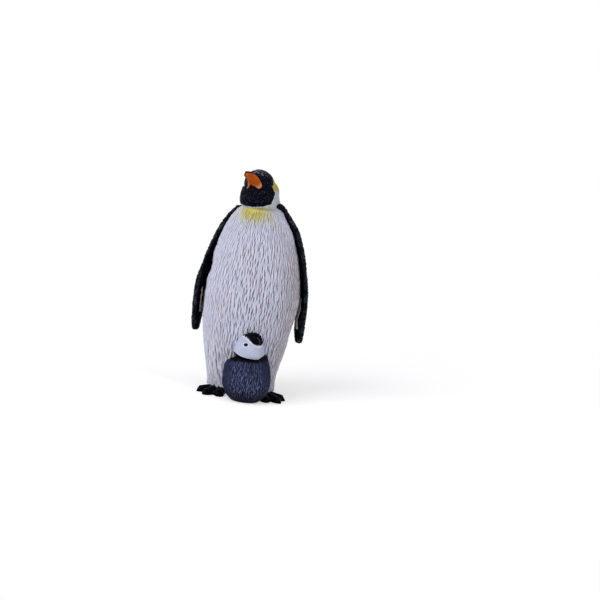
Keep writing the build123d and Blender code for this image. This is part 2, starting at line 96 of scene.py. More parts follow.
@dataclass(frozen=True)
class Fade:
    """Smooth step from 0 at start to full at end, and where out is given, back to 0 from its second value."""

    start: float
    end: float
    full: float = 1.0
    out: Pair | None = None
    ragged: float = 0.0

    def __call__(self, value: Array, stray: Array | float = 0.0) -> Array:
        """Reads the step.

        Args:
            value: Values to test.
            stray: Noise that moves the step, by the share named ragged.

        Returns:
            Shares from 0 to full.
        """
        share = np.clip((value + self.ragged * stray - self.start) / (self.end - self.start), 0.0, 1.0)
        share = self.full * share * share * (3.0 - 2.0 * share)
        return share if self.out is None else share * Fade(*self.out)(value)


@dataclass(frozen=True)
class Curve:
    """Values set at a row of places, with straight lines between them."""

    at: Row
    values: Row

    def __call__(self, place: Array) -> Array:
        """Values at the given places."""
        return np.interp(place, self.at, self.values)


@dataclass(frozen=True)
class Cloud:
    """Solid noise of one feature size in millimetres, about a base; a shift gives another pattern."""

    size: float
    base: float = 0.0
    swing: float = 1.0
    shift: float = 0.0

    def __call__(self, points: Array) -> Array:
        """Values at the given points."""
        offset = Vector((self.shift, 2.0 * self.shift, 3.0 * self.shift))
        values = [noise.noise(Vector(p) / self.size + offset) for p in points]
        return self.base + self.swing * np.array(values)


@dataclass(frozen=True)
class Strokes:
    """Pattern of feathers or grooves, in millimetres, and how it is sunk in, washed and brushed."""

    cut: Cut
    step: Pair
    length: Pair
    half: Pair
    rise: float
    lean: float = 0.12
    density: float = 1.0
    ridge: float = 0.0
    sink: float = 0.1
    cells: int = 4
    hollow: float = 0.12
    crest: Pair = (0.2, 0.5)


@dataclass
class Relief:
    """Height map, in millimetres, of strokes on an unrolled surface, and the places where it is read."""

    wide: Pair
    high: Pair
    strokes: Strokes
    rng: np.random.Generator | int
    across: Array
    up: Array
    pitch: float = 0.1
    stray: Pair = (0.7, 0.8)
    weakest: float = 0.65
    root: float = 0.25
    tip: float = 0.4
    root_rise: float = 0.3
    last: float = 1.001
    grid: Array = field(init=False)

    def __post_init__(self) -> None:
        """Lays the strokes in staggered, uneven rows on a flat map."""
        rng, step = np.random.default_rng(self.rng), self.strokes.step
        self.grid = np.zeros([math.ceil((top - low) / self.pitch) + 1 for low, top in (self.high, self.wide)])
        for row in range(int((self.high[1] - self.high[0]) / step[1]) + 2):
            for column in range(int((self.wide[1] - self.wide[0]) / step[0]) + 2):
                draw = rng.random(6)
                x = self.wide[0] + (column + 0.5 * (row % 2) + self.stray[0] * (draw[0] - 0.5)) * step[0]
                z = self.high[1] + step[1] - (row + self.stray[1] * (draw[1] - 0.5)) * step[1]
                if draw[2] <= self.strokes.density:
                    self.stroke(x, z, draw)

    def stroke(self, x: float, z: float, draw: Array) -> None:
        """Adds one stroke that hangs down from its root.

        Args:
            x: Place of the root across.
            z: Place of the root up.
            draw: Random shares that set its lean, length, width and strength.
        """
        kind = self.strokes
        lean = kind.lean * (2.0 * draw[0] - 1.0)
        length = kind.length[0] + draw[3] * (kind.length[1] - kind.length[0])
        half = kind.half[0] + draw[4] * (kind.half[1] - kind.half[0])
        rise = kind.rise * (self.weakest + (1.0 - self.weakest) * draw[5])
        reach = length * abs(math.sin(lean)) + half + self.pitch
        low = int(max((x - reach - self.wide[0]) / self.pitch, 0))
        top = int(min((x + reach - self.wide[0]) / self.pitch + 1, self.grid.shape[1]))
        under = int(max((z - length - half - self.high[0]) / self.pitch, 0))
        over = int(min((z + half - self.high[0]) / self.pitch + 1, self.grid.shape[0]))
        if low >= top or under >= over:
            return
        across = self.wide[0] + np.arange(low, top) * self.pitch - x
        down = z - self.high[0] - np.arange(under, over) * self.pitch
        across, down = np.meshgrid(across, down)
        along = (down * math.cos(lean) + across * math.sin(lean)) / length
        side = (across * math.cos(lean) - down * math.sin(lean)) / half
        inside = np.clip(along / self.root, 0, 1) * np.clip((1 - along) / self.tip, 0, 1)
        form = np.clip(1.0 - side * side / np.maximum(inside, TINY), 0, 1) * (inside > 0)
        window = self.grid[under:over, low:top]
        if kind.cut is Cut.FEATHER:
            lifted = self.root_rise + (1.0 - self.root_rise) * along
            np.maximum(window, rise * lifted * np.sqrt(form), out=window)
        else:
            np.minimum(window, -rise * form * np.sqrt(inside), out=window)

    def eased(self, cells: int) -> Array:
        """Blurs the map.

        Args:
            cells: Half width of the square that is averaged.

        Returns:
            The blurred map.
        """
        result, size = self.grid, 2 * cells + 1
        for _ in range(2):
            sums = np.cumsum(np.pad(result, ((cells, cells), (0, 0)), mode="edge"), axis=0)
            sums = np.insert(sums, 0, 0.0, axis=0)
            result = ((sums[size:] - sums[:-size]) / size).T
        return result

    def read(self, grid: Array, shift: float = 0.0) -> Array:
        """Reads a map at the places.

        Args:
            grid: The map, or another array of its size.
            shift: Moves the places across.

        Returns:
            Values between the cells.
        """
        x = np.clip((self.across + shift - self.wide[0]) / self.pitch, 0, grid.shape[1] - self.last)
        y = np.clip((self.up - self.high[0]) / self.pitch, 0, grid.shape[0] - self.last)
        column, row = x.astype(int), y.astype(int)
        x, y = x - column, y - row
        lower = grid[row, column] * (1 - x) + grid[row, column + 1] * x
        upper = grid[row + 1, column] * (1 - x) + grid[row + 1, column + 1] * x
        return lower * (1 - y) + upper * y

    def lay(self) -> tuple[Array, Array, Array]:
        """Reads the feathers.

        Returns:
            Rise in millimetres, share of the hollow beside a feather, and share of its crest.
        """
        kind = self.strokes
        feather = self.read(self.grid)
        hollow = (self.read(self.eased(kind.cells)) - feather) / kind.hollow
        crest = feather / kind.crest[0] - kind.crest[1]
        return feather - kind.sink, np.clip(hollow, 0, 1), np.clip(crest, 0, 1)

    def carve(self) -> tuple[Array, Array]:
        """Reads the grooves.

        Returns:
            Share of full depth, and share of the ridges that stand beside the grooves.
        """
        shifts = 0.0, -self.strokes.ridge, self.strokes.ridge
        cut, left, right = (self.read(self.grid, s) / -self.strokes.rise for s in shifts)
        return cut, left + right


class NodeBench:
    """Shader nodes of one material or world, added and linked in order."""

    def __init__(self, owner: bpy.types.Material | bpy.types.World) -> None:
        """Empties the node tree of a material or world."""
        owner.use_nodes = True
        self.tree = owner.node_tree
        self.tree.nodes.clear()

    def add(self, kind: str, inputs: dict[int | str, object], **settings: object) -> bpy.types.NodeOutputs:
        """Adds one node.

        Args:
            kind: Type of the node.
            inputs: An output socket, a number or a colour for each input.
            settings: Other values of the node.

        Returns:
            The node's outputs.
        """
        node = self.tree.nodes.new("ShaderNode" + kind)
        for name, value in settings.items():
            setattr(node, name, value)
        for place, value in inputs.items():
            socket = node.inputs[place]
            if isinstance(value, Socket):
                self.tree.links.new(value, socket)
            else:
                socket.default_value = linear(value) if socket.type == "RGBA" else value
        return node.outputs

    @cached_property
    def place(self) -> Socket:
        """Place on the object, in metres."""
        return self.add("TexCoord", {})["Object"]

    def mask(self, mask: Mask) -> Socket:
        """The painted places of one mask, from 0 to 1."""
        return self.add("Attribute", {}, attribute_name=mask.value)["Fac"]

    def noise(self, size: float, detail: float) -> Socket:
        """Noise from 0 to 1 with features of one size in millimetres and finer detail under it."""
        inputs = {"Vector": self.place, "Scale": 1.0 / (size * MM), "Detail": detail}
        return self.add("TexNoise", inputs)["Fac"]

    def band(self, value: Socket, low: float, high: float) -> Socket:
        """Smooth step of a value from 0 at low to 1 at high."""
        inputs = {"Value": value, "From Min": low, "From Max": high}
        return self.add("MapRange", inputs, interpolation_type="SMOOTHSTEP")["Result"]

    def math(self, kind: str, *values: Socket | float) -> Socket:
        """One step of arithmetic on sockets or numbers."""
        return self.add("Math", dict(enumerate(values)), operation=kind)[0]

    def mix(self, share: Socket, first: Socket | Colour, second: Socket | Colour) -> Socket:
        """Mix of two colours by the share of the second."""
        return self.add("Mix", {"Factor": share, 6: first, 7: second}, data_type="RGBA")[2]


@dataclass(frozen=True)
class Coat:
    """One coat of paint, mottled between two tints, over one mask."""

    mask: Mask
    dark: Colour
    light: Colour
    soft: bool = False


@dataclass(frozen=True)
class Finish:
    """Hand-painted vinyl: a mottled base, coats over it, wash in the grooves and dry brush on the crests."""

    name: str
    dark: Colour
    light: Colour
    wash: Colour
    brush: Colour
    coats: tuple[Coat, ...] = ()
    wash_share: float = 0.8
    brush_share: float = 0.5
    rough: Pair = (0.5, 0.68)
    shine: float = 0.3
    polish: float = 0.45
    broken: float = 1.0
    ragged: float = 0.25
    grain_depth: float = 0.03
    mottle_noise: Pair = (3.0, 4.0)
    fine_noise: Pair = (0.45, 4.0)
    speck_noise: Pair = (0.28, 2.0)
    grain_noise: Pair = (0.22, 3.0)
    mottle_band: Pair = (0.3, 0.7)
    speck_band: Pair = (0.42, 0.6)
    coat_band: Pair = (0.2, 0.8)
    wash_band: Pair = (0.05, 0.45)

    def material(self) -> bpy.types.Material:
        """Builds the node material.

        Returns:
            The material.
        """
        material = bpy.data.materials.new(self.name)
        bench = NodeBench(material)
        cloud = bench.band(bench.noise(*self.mottle_noise), *self.mottle_band)
        fine = bench.noise(*self.fine_noise)
        colour = bench.mix(cloud, self.dark, self.light)
        for coat in self.coats:
            share = bench.mask(coat.mask)
            if not coat.soft:
                ragged = bench.math("MULTIPLY", bench.math("SUBTRACT", fine, 0.5), self.ragged)
                share = bench.band(bench.math("ADD", share, ragged), *self.coat_band)
            colour = bench.mix(share, colour, bench.mix(cloud, coat.dark, coat.light))
        # On the chick's down the groove mask also holds a painted shadow at the bottom, laid in the wash
        # colour.
        groove = bench.math("MULTIPLY", bench.mask(Mask.GROOVE), bench.band(fine, *self.wash_band))
        colour = bench.mix(bench.math("MULTIPLY", groove, self.wash_share), colour, self.wash)
        speck = bench.band(bench.noise(*self.speck_noise), *self.speck_band)
        patchy = bench.math("MULTIPLY_ADD", speck, self.broken, 1.0 - self.broken)
        crest = bench.math("MULTIPLY", bench.mask(Mask.CREST), patchy)
        colour = bench.mix(bench.math("MULTIPLY", crest, self.brush_share), colour, self.brush)
        rough = bench.math("MULTIPLY_ADD", fine, self.rough[1] - self.rough[0], self.rough[0])
        rough = bench.math("SUBTRACT", rough, bench.math("MULTIPLY", bench.mask(Mask.GLOSS), self.polish))
        height = bench.noise(*self.grain_noise)
        bump = bench.add("Bump", {"Distance": self.grain_depth * MM, "Height": height})["Normal"]
        shader = bench.add("BsdfPrincipled", {
            "Base Color": colour, "Roughness": rough, "Specular IOR Level": self.shine, "Normal": bump})
        bench.add("OutputMaterial", {0: shader[0]})
        return material


class Skin:
    """Working mesh of one piece, in millimetres, with its painted places."""

    def __init__(self, mesh: bpy.types.Mesh) -> None:
        """Takes over a mesh with coordinates in millimetres."""
        self.mesh, self.masks = mesh, {}
        self.points, self.normals = self.fetch("co"), self.fetch("normal")

    def fetch(self, name: str) -> Array:
        """One vector for every point of the mesh."""
        flat = np.empty(len(self.mesh.vertices) * 3)
        self.mesh.vertices.foreach_get(name, flat)
        return flat.reshape(-1, 3)

    @classmethod
    def remeshed(cls, node: str, voxel: float, rounds: int, extra: Sequence[tuple[Array, Faces]] = (),
                 smoothing: float = 0.5) -> "Skin":
        """Even, closed skin over a CAD node and forms added to it.

        Args:
            node: Name of the CAD node.
            voxel: Size of a cell in millimetres.
            rounds: Rounds of smoothing.
            extra: Points and faces of closed forms to join.
            smoothing: Share of each round.

        Returns:
            The skin.
        """
        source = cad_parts[node].data
        points = [tuple(v.co / MM) for v in source.vertices]
        faces = [tuple(p.vertices) for p in source.polygons]
        for more_points, more_faces in extra:
            start = len(points)
            points += [tuple(p) for p in more_points]
            faces += [tuple(i + start for i in f) for f in more_faces]
        rough = bpy.data.meshes.new(node + "_rough")
        rough.from_pydata(points, [], faces)
        work = bpy.data.objects.new(node + "_rough", rough)
        bpy.context.scene.collection.objects.link(work)
        voxels = work.modifiers.new("voxels", "REMESH")
        voxels.mode, voxels.voxel_size = "VOXEL", voxel
        smooth = work.modifiers.new("smooth", "SMOOTH")
        smooth.factor, smooth.iterations = smoothing, rounds
        graph = bpy.context.evaluated_depsgraph_get()
        mesh = bpy.data.meshes.new_from_object(work.evaluated_get(graph))
        bpy.data.objects.remove(work)
        bpy.data.meshes.remove(rough)
        return cls(mesh)

    def push(self, rise: Array) -> None:
        """Moves every point out along its normal, by millimetres."""
        self.points = self.points + self.normals * rise[:, None]

    def rest(self) -> None:
        """Lifts points that went below the floor back onto it."""
        self.points[:, 2] = np.maximum(self.points[:, 2], 0.0)

    def mark(self, **shares: Array) -> None:
        """Keeps the painted share of every point for the masks of those names."""
        self.masks.update({Mask(name): np.clip(share, 0.0, 1.0) for name, share in shares.items()})

    def piece(self, name: str, finish: Finish, slot: str, node: str) -> None:
        """Makes the finished piece, in metres, and hands it to the frame.

        Args:
            name: Name of the piece.
            finish: Its paint.
            slot: Name of a material slot; not used.
            node: The CAD node that it stands for.
        """
        self.mesh.vertices.foreach_set("co", (self.points * MM).ravel())
        for mask in (Mask.GROOVE, Mask.CREST, Mask.GLOSS, *(c.mask for c in finish.coats)):
            share = self.masks.get(mask, np.zeros(len(self.points)))
            layer = self.mesh.attributes.new(mask.value, "FLOAT", "POINT")
            layer.data.foreach_set("value", share.astype(np.float32))
        self.mesh.polygons.foreach_set("use_smooth", np.ones(len(self.mesh.polygons), dtype=bool))
        self.mesh.update()
        self.mesh.materials.clear()
        self.mesh.materials.append(finish.material())
        self.mesh.name = name
        piece = bpy.data.objects.new(name, self.mesh)
        bpy.context.scene.collection.objects.link(piece)
        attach(piece, BODY)
        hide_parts(node)
        log.info("%s: %d faces for %s", name, len(self.mesh.polygons), node)


WHITE_PLUMAGE = Finish(
    name="white_plumage", dark=(0.73, 0.74, 0.83), light=(0.79, 0.80, 0.89), wash=(0.34, 0.30, 0.29),
    brush=(0.93, 0.93, 0.98), coats=(
        # Painted shade on the flank and low belly, tinted warm as a painted reflection.
        Coat(Mask.SHADE, (0.59, 0.55, 0.58), (0.67, 0.63, 0.66), soft=True),
        Coat(Mask.YELLOW, (0.74, 0.70, 0.29), (0.82, 0.78, 0.37), soft=True),
        Coat(Mask.BLACK, (0.02, 0.02, 0.04), (0.05, 0.05, 0.08))),
    wash_share=0.9, brush_share=0.75, shine=0.2, broken=0.25)
BLACK_PLUMAGE = Finish(
    name="black_plumage", dark=(0.015, 0.015, 0.03), light=(0.04, 0.04, 0.065), wash=(0.004, 0.004, 0.008),
    brush=(0.34, 0.34, 0.43), wash_share=0.7, brush_share=0.65, shine=0.03)
HEAD_PAINT = Finish(
    name="head_paint", dark=(0.74, 0.74, 0.78), light=(0.80, 0.80, 0.84), wash=(0.01, 0.01, 0.02),
    brush=(0.62, 0.62, 0.70), coats=(
        Coat(Mask.YELLOW, (0.67, 0.62, 0.28), (0.75, 0.70, 0.36), soft=True),
        Coat(Mask.BLACK, (0.0, 0.001, 0.035), (0.01, 0.012, 0.075)),
        Coat(Mask.ORANGE, (0.70, 0.30, 0.055), (0.80, 0.38, 0.11)),
        Coat(Mask.CREAM, (0.76, 0.52, 0.36), (0.82, 0.60, 0.45), soft=True)),
    wash_share=0.6, brush_share=0.75, rough=(0.42, 0.6), shine=0.03)
FLIPPER_PAINT = Finish(
    name="flipper_paint", dark=(0.006, 0.007, 0.035), light=(0.024, 0.026, 0.075), wash=(0.003, 0.003, 0.008),
    brush=(0.40, 0.41, 0.47), coats=(Coat(Mask.CREAM, (0.84, 0.80, 0.75), (0.92, 0.88, 0.84)),),
    wash_share=0.7, brush_share=0.75, rough=(0.45, 0.62), shine=0.03, broken=0.6)
FOOT_PAINT = Finish(
    name="foot_paint", dark=(0.004, 0.004, 0.02), light=(0.012, 0.013, 0.045), wash=(0.002, 0.002, 0.004),
    brush=(0.3, 0.3, 0.4), wash_share=0.8, brush_share=0.4, rough=(0.36, 0.55), shine=0.02)
# The wash colour also paints the shadow at the bottom of the chick's down.
CHICK_DOWN = Finish(
    name="chick_down", dark=(0.11, 0.125, 0.23), light=(0.16, 0.178, 0.305), wash=(0.02, 0.025, 0.08),
    brush=(0.62, 0.66, 0.83), coats=(Coat(Mask.BLACK, (0.01, 0.01, 0.025), (0.03, 0.03, 0.06)),),
    wash_share=0.95, brush_share=1.0, shine=0.04, broken=0.3)
CHICK_FACE = Finish(
    name="chick_face", dark=(0.72, 0.74, 0.84), light=(0.78, 0.80, 0.90), wash=(0.01, 0.01, 0.02),
    brush=(0.28, 0.28, 0.36), coats=(
        Coat(Mask.SHADE, (0.60, 0.60, 0.68), (0.68, 0.68, 0.76), soft=True),
        Coat(Mask.BLACK, (0.01, 0.01, 0.025), (0.03, 0.03, 0.055)),
        Coat(Mask.WHITE, (0.84, 0.85, 0.92), (0.90, 0.91, 0.96)),
        Coat(Mask.CREAM, (0.02, 0.02, 0.03), (0.05, 0.05, 0.065))),
    wash_share=0.5, brush_share=0.25, shine=0.03)
CORE_FILL = Finish(
    name="core_fill", dark=(0.46, 0.45, 0.44), light=(0.54, 0.53, 0.51), wash=(0.3, 0.3, 0.3),
    brush=(0.6, 0.6, 0.6), rough=(0.7, 0.85))


@dataclass
class AdultBody:
    """White front and black rear half of the adult's body."""

    seam_y: float = 3.75
    floor: float = 3.0
    slab: float = 5.4
    roof: float = 65.3
    top: float = 74.0
    wall: float = 2.4
    unroll: float = 17.0
    chart: Chart = ((-28.0, 28.0), (2.0, 75.0))
    columns: int = 380
    inner_columns: int = 24
    inner_rows: int = 12
    row_step: float = 0.34
    row_inset: float = 0.02
    hem: float = 4.6
    hem_step: float = 0.2
    hem_high: float = 3.0
    hem_clear: float = 0.9
    hem_flare: float = 0.3
    hem_return: float = 0.9
    tip_step: float = 1.3
    tip_stray: float = 0.3
    tip_length: Pair = (0.6, 1.5)
    tip_half: Pair = (0.6, 1.0)
    tuck_in: float = 0.495
    tuck_up: float = 0.55
    cast_from: float = 40.0
    socket_drop: float = 0.8
    socket_slope: float = 0.12
    socket_reach: int = 54
    socket_rounds: int = 3
    seed: int = 7

    shoulder_side: Fade = Fade(14, 20)
    shoulder_at: ClassVar[Row] = (50, 57, 62, 66, 69, 72, 73.6)
    right_shoulder: Curve = Curve(shoulder_at, (0, 0.3, 0.8, 1.15, 1.05, 0.7, 0.2))
    left_shoulder: Curve = Curve(shoulder_at, (0.3, 0.4, 0.5, 0.5, 0, -0.2, 0))
    flank_side: Fade = Fade(17, 21)
    right_flank: Curve = Curve((28, 33, 40, 44, 47, 50, 54), (0, 0.5, 0.5, 0.4, 0.9, 0.9, 0))
    low_side: Fade = Fade(15, 21)
    left_low: Curve = Curve((3, 10, 17, 21, 24, 29, 34, 38), (0.2, 0.45, 0.45, 0.6, 0.95, 1, 0.5, 0))

    relief_edge: Fade = Fade(3, 4, out=(74, 72.5))
    plume: Strokes = Strokes(
        Cut.FEATHER, (1.15, 1.5), (2.8, 4.2), (0.42, 0.62), 0.24, sink=0.12, cells=6, hollow=0.14)
    cuts: Strokes = Strokes(Cut.GROOVE, (1.35, 1.9), (2.0, 3.6), (0.17, 0.26), 0.45, 0.07, 0.97, ridge=0.48)
    skirt: Strokes = Strokes(Cut.GROOVE, (2.3, 2.6), (2.8, 4.8), (0.27, 0.37), 0.45, 0.07, 0.97, ridge=0.7)
    broad: Strokes = Strokes(Cut.GROOVE, (2.2, 2.6), (3.2, 5.4), (0.4, 0.55), 0.45, 0.07, 0.97, ridge=0.9)
    back_plume: Strokes = Strokes(
        Cut.FEATHER, (1.15, 1.5), (2.2, 3.6), (0.5, 0.75), 0.2, cells=6, crest=(0.2, 0.45))
    wave: Cloud = Cloud(2.6, swing=0.08)
    cut_depth: float = 0.45
    ridge_rise: float = 0.15
    cut_middle: float = 3.5
    cut_spread: Pair = (20.0, 15.0)
    cut_widening: Fade = Fade(32, 12, 8)
    cut_least: float = 0.5
    cut_most: float = 0.4
    cut_belly: Fade = Fade(60, 40, 0.1)
    cut_chest: Fade = Fade(63, 70, 0.25)
    cut_hem: Fade = Fade(30, 12, 0.2)
    skirt_up: Fade = Fade(32, 16, 0.75)
    corner_across: Fade = Fade(-4, -12)
    corner_up: Fade = Fade(26, 16)
    corner_cuts: float = 0.5
    corner_skirt: float = 0.7

    cloud: Cloud = Cloud(7.0)
    streak: Cloud = Cloud(0.9)
    streak_form: Place = (1.0, 1.0, 0.3)
    yellow_across: Fade = Fade(-23, -9, out=(16, -2))
    yellow_up: Fade = Fade(66.8, 72, ragged=1.3)
    yellow_cloud: float = 0.2
    yellow_cover: float = 0.85
    cut_wash: float = 1.25
    hollow_wash: float = 0.2
    brush_rise: float = 2.0
    brush_base: float = 0.04
    brush_ridge: float = 1.1
    brush_corner: float = 0.3
    shade_across: Fade = Fade(8, 21, 0.95)
    shade_up: Fade = Fade(69, 52)
    under_across: Fade = Fade(-10, 4, 0.6)
    under_up: Fade = Fade(12, 4)
    shade_cloud: float = 0.25
    rear_across: Fade = Fade(24.4, 25.6, ragged=1.2)
    rear_up: Fade = Fade(20, 30)
    back_brush: Cloud = Cloud(6.0, 0.7, 0.5)
    rows: Array = field(init=False)

    def __post_init__(self) -> None:
        """Sets the heights of the rows, closer together at the hem."""
        low = np.arange(self.floor + self.row_inset, self.hem, self.hem_step)
        count = int((self.top - self.hem) / self.row_step)
        self.rows = np.concatenate([low, np.linspace(self.hem, self.top - self.row_inset, count)])

    def cast(self, node: str, bearings: Array) -> Array:
        """Reads a shell's outer surface on rows and bearings.

        Args:
            node: CAD node of the shell.
            bearings: Directions from the seam's middle, in radians from straight ahead.

        Returns:
            Points in rows and columns.
        """
        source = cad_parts[node].data
        faces = [tuple(p.vertices) for p in source.polygons]
        tree = BVHTree.FromPolygons([v.co / MM for v in source.vertices], faces)
        out = np.stack([np.sin(bearings), -np.cos(bearings), np.zeros_like(bearings)], axis=1)
        radii = np.zeros((len(self.rows), len(bearings)))
        for i, z in enumerate(self.rows):
            for j, way in enumerate(out):
                start = Vector((way[0] * self.cast_from, self.seam_y + way[1] * self.cast_from, z))
                hit = tree.ray_cast(start, -Vector(way))[0]
                radii[i, j] = math.hypot(hit.x, hit.y - self.seam_y) if hit else 0.0
        self.bridge(radii)
        points = radii[..., None] * out
        points[..., 1] += self.seam_y
        points[..., 2] = self.rows[:, None]
        self.hang(points, out, bearings - bearings.mean())
        points[-1, :, :2] -= self.tuck_in * out[:, :2]
        points[-1, :, 2] += self.tuck_up
        return points

    def hang(self, points: Array, out: Array, bearings: Array) -> None:
        """Draws the lowest rows down into ragged feather tips, in place.

        Args:
            points: Points in rows and columns.
            out: Level direction of every column.
            bearings: Bearing of every column from the shell's middle, in radians.
        """
        rng = np.random.default_rng(self.seed + 2)
        place = np.arange(*self.chart[0], self.tip_step)
        place = place + self.tip_stray * rng.standard_normal(len(place))
        length = rng.uniform(*self.tip_length, len(place))
        half = rng.uniform(*self.tip_half, len(place))
        away = (bearings[:, None] * self.unroll - place) / half
        drop = (length * np.clip(1.0 - away * away, 0.0, 1.0)).max(axis=1)
        clear = int(np.searchsorted(self.rows, self.floor + self.hem_clear))
        points[:clear, :, :2] = points[clear, :, :2]
        share = Fade(self.floor + self.hem_high, self.floor)(self.rows)[:, None]
        points[..., 2] -= share * drop
        points[..., :2] += (self.hem_flare * share)[..., None] * out[:, :2]
        points[0, :, :2] -= self.hem_return * out[:, :2]
        points[0, :, 2] = self.rows[0]

    def bridge(self, radii: Array) -> None:
        """Closes the peg holes in a shell's outer surface, in place.

        Args:
            radii: Radius by row and column.
        """
        index = np.arange(radii.shape[1])
        windows = [slice(max(0, i - self.socket_reach), i + self.socket_reach + 1) for i in index]
        ends = (index == 0) | (index == index[-1])
        for row in radii:
            near = np.array([row[window].max() for window in windows])
            sound = row > near - self.socket_drop - self.socket_slope * near
            for _ in range(self.socket_rounds):
                sound = sound & (ends | np.roll(sound, 1) & np.roll(sound, -1))
            if sound.sum() > 2:
                row[:] = np.interp(index, index[sound], row[sound])

    def shell(self, node: str, centre: float) -> tuple[Skin, Array, Array, Array, Array]:
        """Closed shell with a fine outside and a plain inside.

        Args:
            node: CAD node of the shell.
            centre: Bearing of the shell's middle, in radians.

        Returns:
            The skin, and for each point whether it is outside, its place across, its height and its relief.
        """
        bearings = np.linspace(centre - math.pi / 2, centre + math.pi / 2, self.columns)
        outer = self.cast(node, bearings)
        pick = np.linspace(0, self.columns - 1, self.inner_columns).astype(int)
        levels = np.linspace(self.slab, self.roof, self.inner_rows)
        cuts = np.searchsorted(self.rows, levels)
        middle = np.array([0.0, self.seam_y, 0.0])
        away = outer[cuts - 1][:, pick] - middle
        away[..., 2] = 0.0
        inner = middle + away * (1.0 - self.wall / np.linalg.norm(away, axis=-1, keepdims=True))
        inner[..., 2] = levels[:, None]
        points = np.concatenate([outer.reshape(-1, 3), inner.reshape(-1, 3)])
        size = len(self.rows) * self.columns
        at = np.arange(size).reshape(outer.shape[:2])
        into = np.arange(size, len(points)).reshape(inner.shape[:2])
        faces = quads(at) + [q[::-1] for q in quads(into)] + [at[0], at[-1][::-1], into[0][::-1], into[-1]]
        for side, turn in ((0, 1), (-1, -1)):
            for i in range(self.inner_rows - 1):
                faces.append([*at[cuts[i]:cuts[i + 1] + 1, side], into[i + 1, side], into[i, side]][::turn])
        faces.append([*at[:cuts[0] + 1, 0][::-1], *at[:cuts[0] + 1, -1], into[0, -1], into[0, 0]][::-1])
        faces.append([*at[cuts[-1]:, 0], *at[cuts[-1]:, -1][::-1], into[-1, -1], into[-1, 0]][::-1])
        mesh = bpy.data.meshes.new(node + "_skin")
        mesh.from_pydata([tuple(p) for p in points], [], [tuple(int(i) for i in f) for f in faces])
        mesh.update()
        skin, outside = Skin(mesh), np.arange(len(points)) < size
        x, y, z = skin.points.T
        bearing = np.arctan2(x, self.seam_y - y) - centre
        bearing = (bearing + math.pi) % (2 * math.pi) - math.pi
        return skin, outside, bearing * self.unroll, z, self.relief_edge(z) * outside

    def belly_depth(self, across: Array, up: Array) -> Array:
        """Share of full depth of the cuts in the belly's plumage.

        Args:
            across: Places across in millimetres.
            up: Heights.

        Returns:
            Shares, 1 for full depth.
        """
        spread = np.where(across > self.cut_middle, *self.cut_spread) + self.cut_widening(up)
        middle = np.exp(-((across - self.cut_middle) / spread) ** 2)
        most = self.cut_most + self.cut_belly(up) - self.cut_chest(up)
        return self.cut_least + middle * most + self.cut_hem(up)

    def build_belly(self) -> None:
        """Builds and dresses the white front half."""
        skin, outside, across, up, edge = self.shell("belly_shell", 0.0)
        rng = np.random.default_rng(self.seed)
        wavy = across + self.wave(skin.points)
        depth = self.belly_depth(across, up)
        corner = self.corner_across(across) * self.corner_up(up)
        low = self.skirt_up(up) * (1 - self.corner_skirt * corner)
        rise, hollow, _ = Relief(*self.chart, self.plume, rng, wavy, up).lay()
        groove, ridge = Relief(*self.chart, self.cuts, rng, wavy, up).carve()
        groove = groove * (1 - self.corner_cuts * corner)
        for strokes, share in ((self.skirt, low), (self.broad, corner)):
            cut, beside = Relief(*self.chart, strokes, rng, wavy, up).carve()
            groove, ridge = np.maximum(groove, share * cut), ridge + share * beside
        ridge = np.clip(ridge, 0, 1) * (1 - groove)
        full = self.right_shoulder(up) * self.shoulder_side(-across)
        full += self.left_shoulder(up) * self.shoulder_side(across)
        full -= self.right_flank(up) * self.flank_side(-across) + self.left_low(up) * self.low_side(across)
        skin.push((rise - self.cut_depth * groove * depth + self.ridge_rise * ridge) * edge + full * outside)

        cloud = self.cloud(skin.points)
        streak = self.streak(skin.points * np.array(self.streak_form))
        yellow = self.yellow_across(across) * self.yellow_up(up, streak) * (1.0 + self.yellow_cloud * cloud)
        dry = (1 - groove) * edge * (1 - self.yellow_cover * np.clip(yellow, 0, 1))
        brush = self.brush_rise * rise + self.brush_base + self.brush_ridge * ridge
        brush += self.brush_corner * corner
        # Painted shade with a warm painted reflection: the flank on the bird's left, the low belly, and a
        # little random spread.
        flank = self.shade_across(across) * self.shade_up(up)
        under = self.under_across(across) * self.under_up(up)
        skin.mark(
            yellow=yellow, groove=(self.cut_wash * groove * depth + self.hollow_wash * hollow) * edge,
            crest=np.clip(brush, 0, 1) * dry, shade=np.maximum(flank, under) + self.shade_cloud * cloud,
            black=self.rear_across(np.abs(across), cloud) * self.rear_up(up))
        skin.piece("belly_plumage", WHITE_PLUMAGE, "belly_plumage", "belly_shell")

    def build_back(self) -> None:
        """Builds and dresses the black rear half."""
        skin, outside, across, up, edge = self.shell("back_shell", math.pi)
        rise, hollow, crest = Relief(*self.chart, self.back_plume, self.seed + 1, across, up).lay()
        skin.push(rise * edge - self.left_low(up) * self.low_side(-across) * outside)
        skin.mark(groove=hollow * edge, crest=crest * self.back_brush(skin.points) * edge)
        skin.piece("back_plumage", BLACK_PLUMAGE, "back_plumage", "back_shell")

    def dress_core(self) -> None:
        """Gives the filler core its plain material."""
        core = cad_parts["body_core"]
        core.data.materials.clear()
        core.data.materials.append(CORE_FILL.material())
        log.info("body_core: shown as packed")


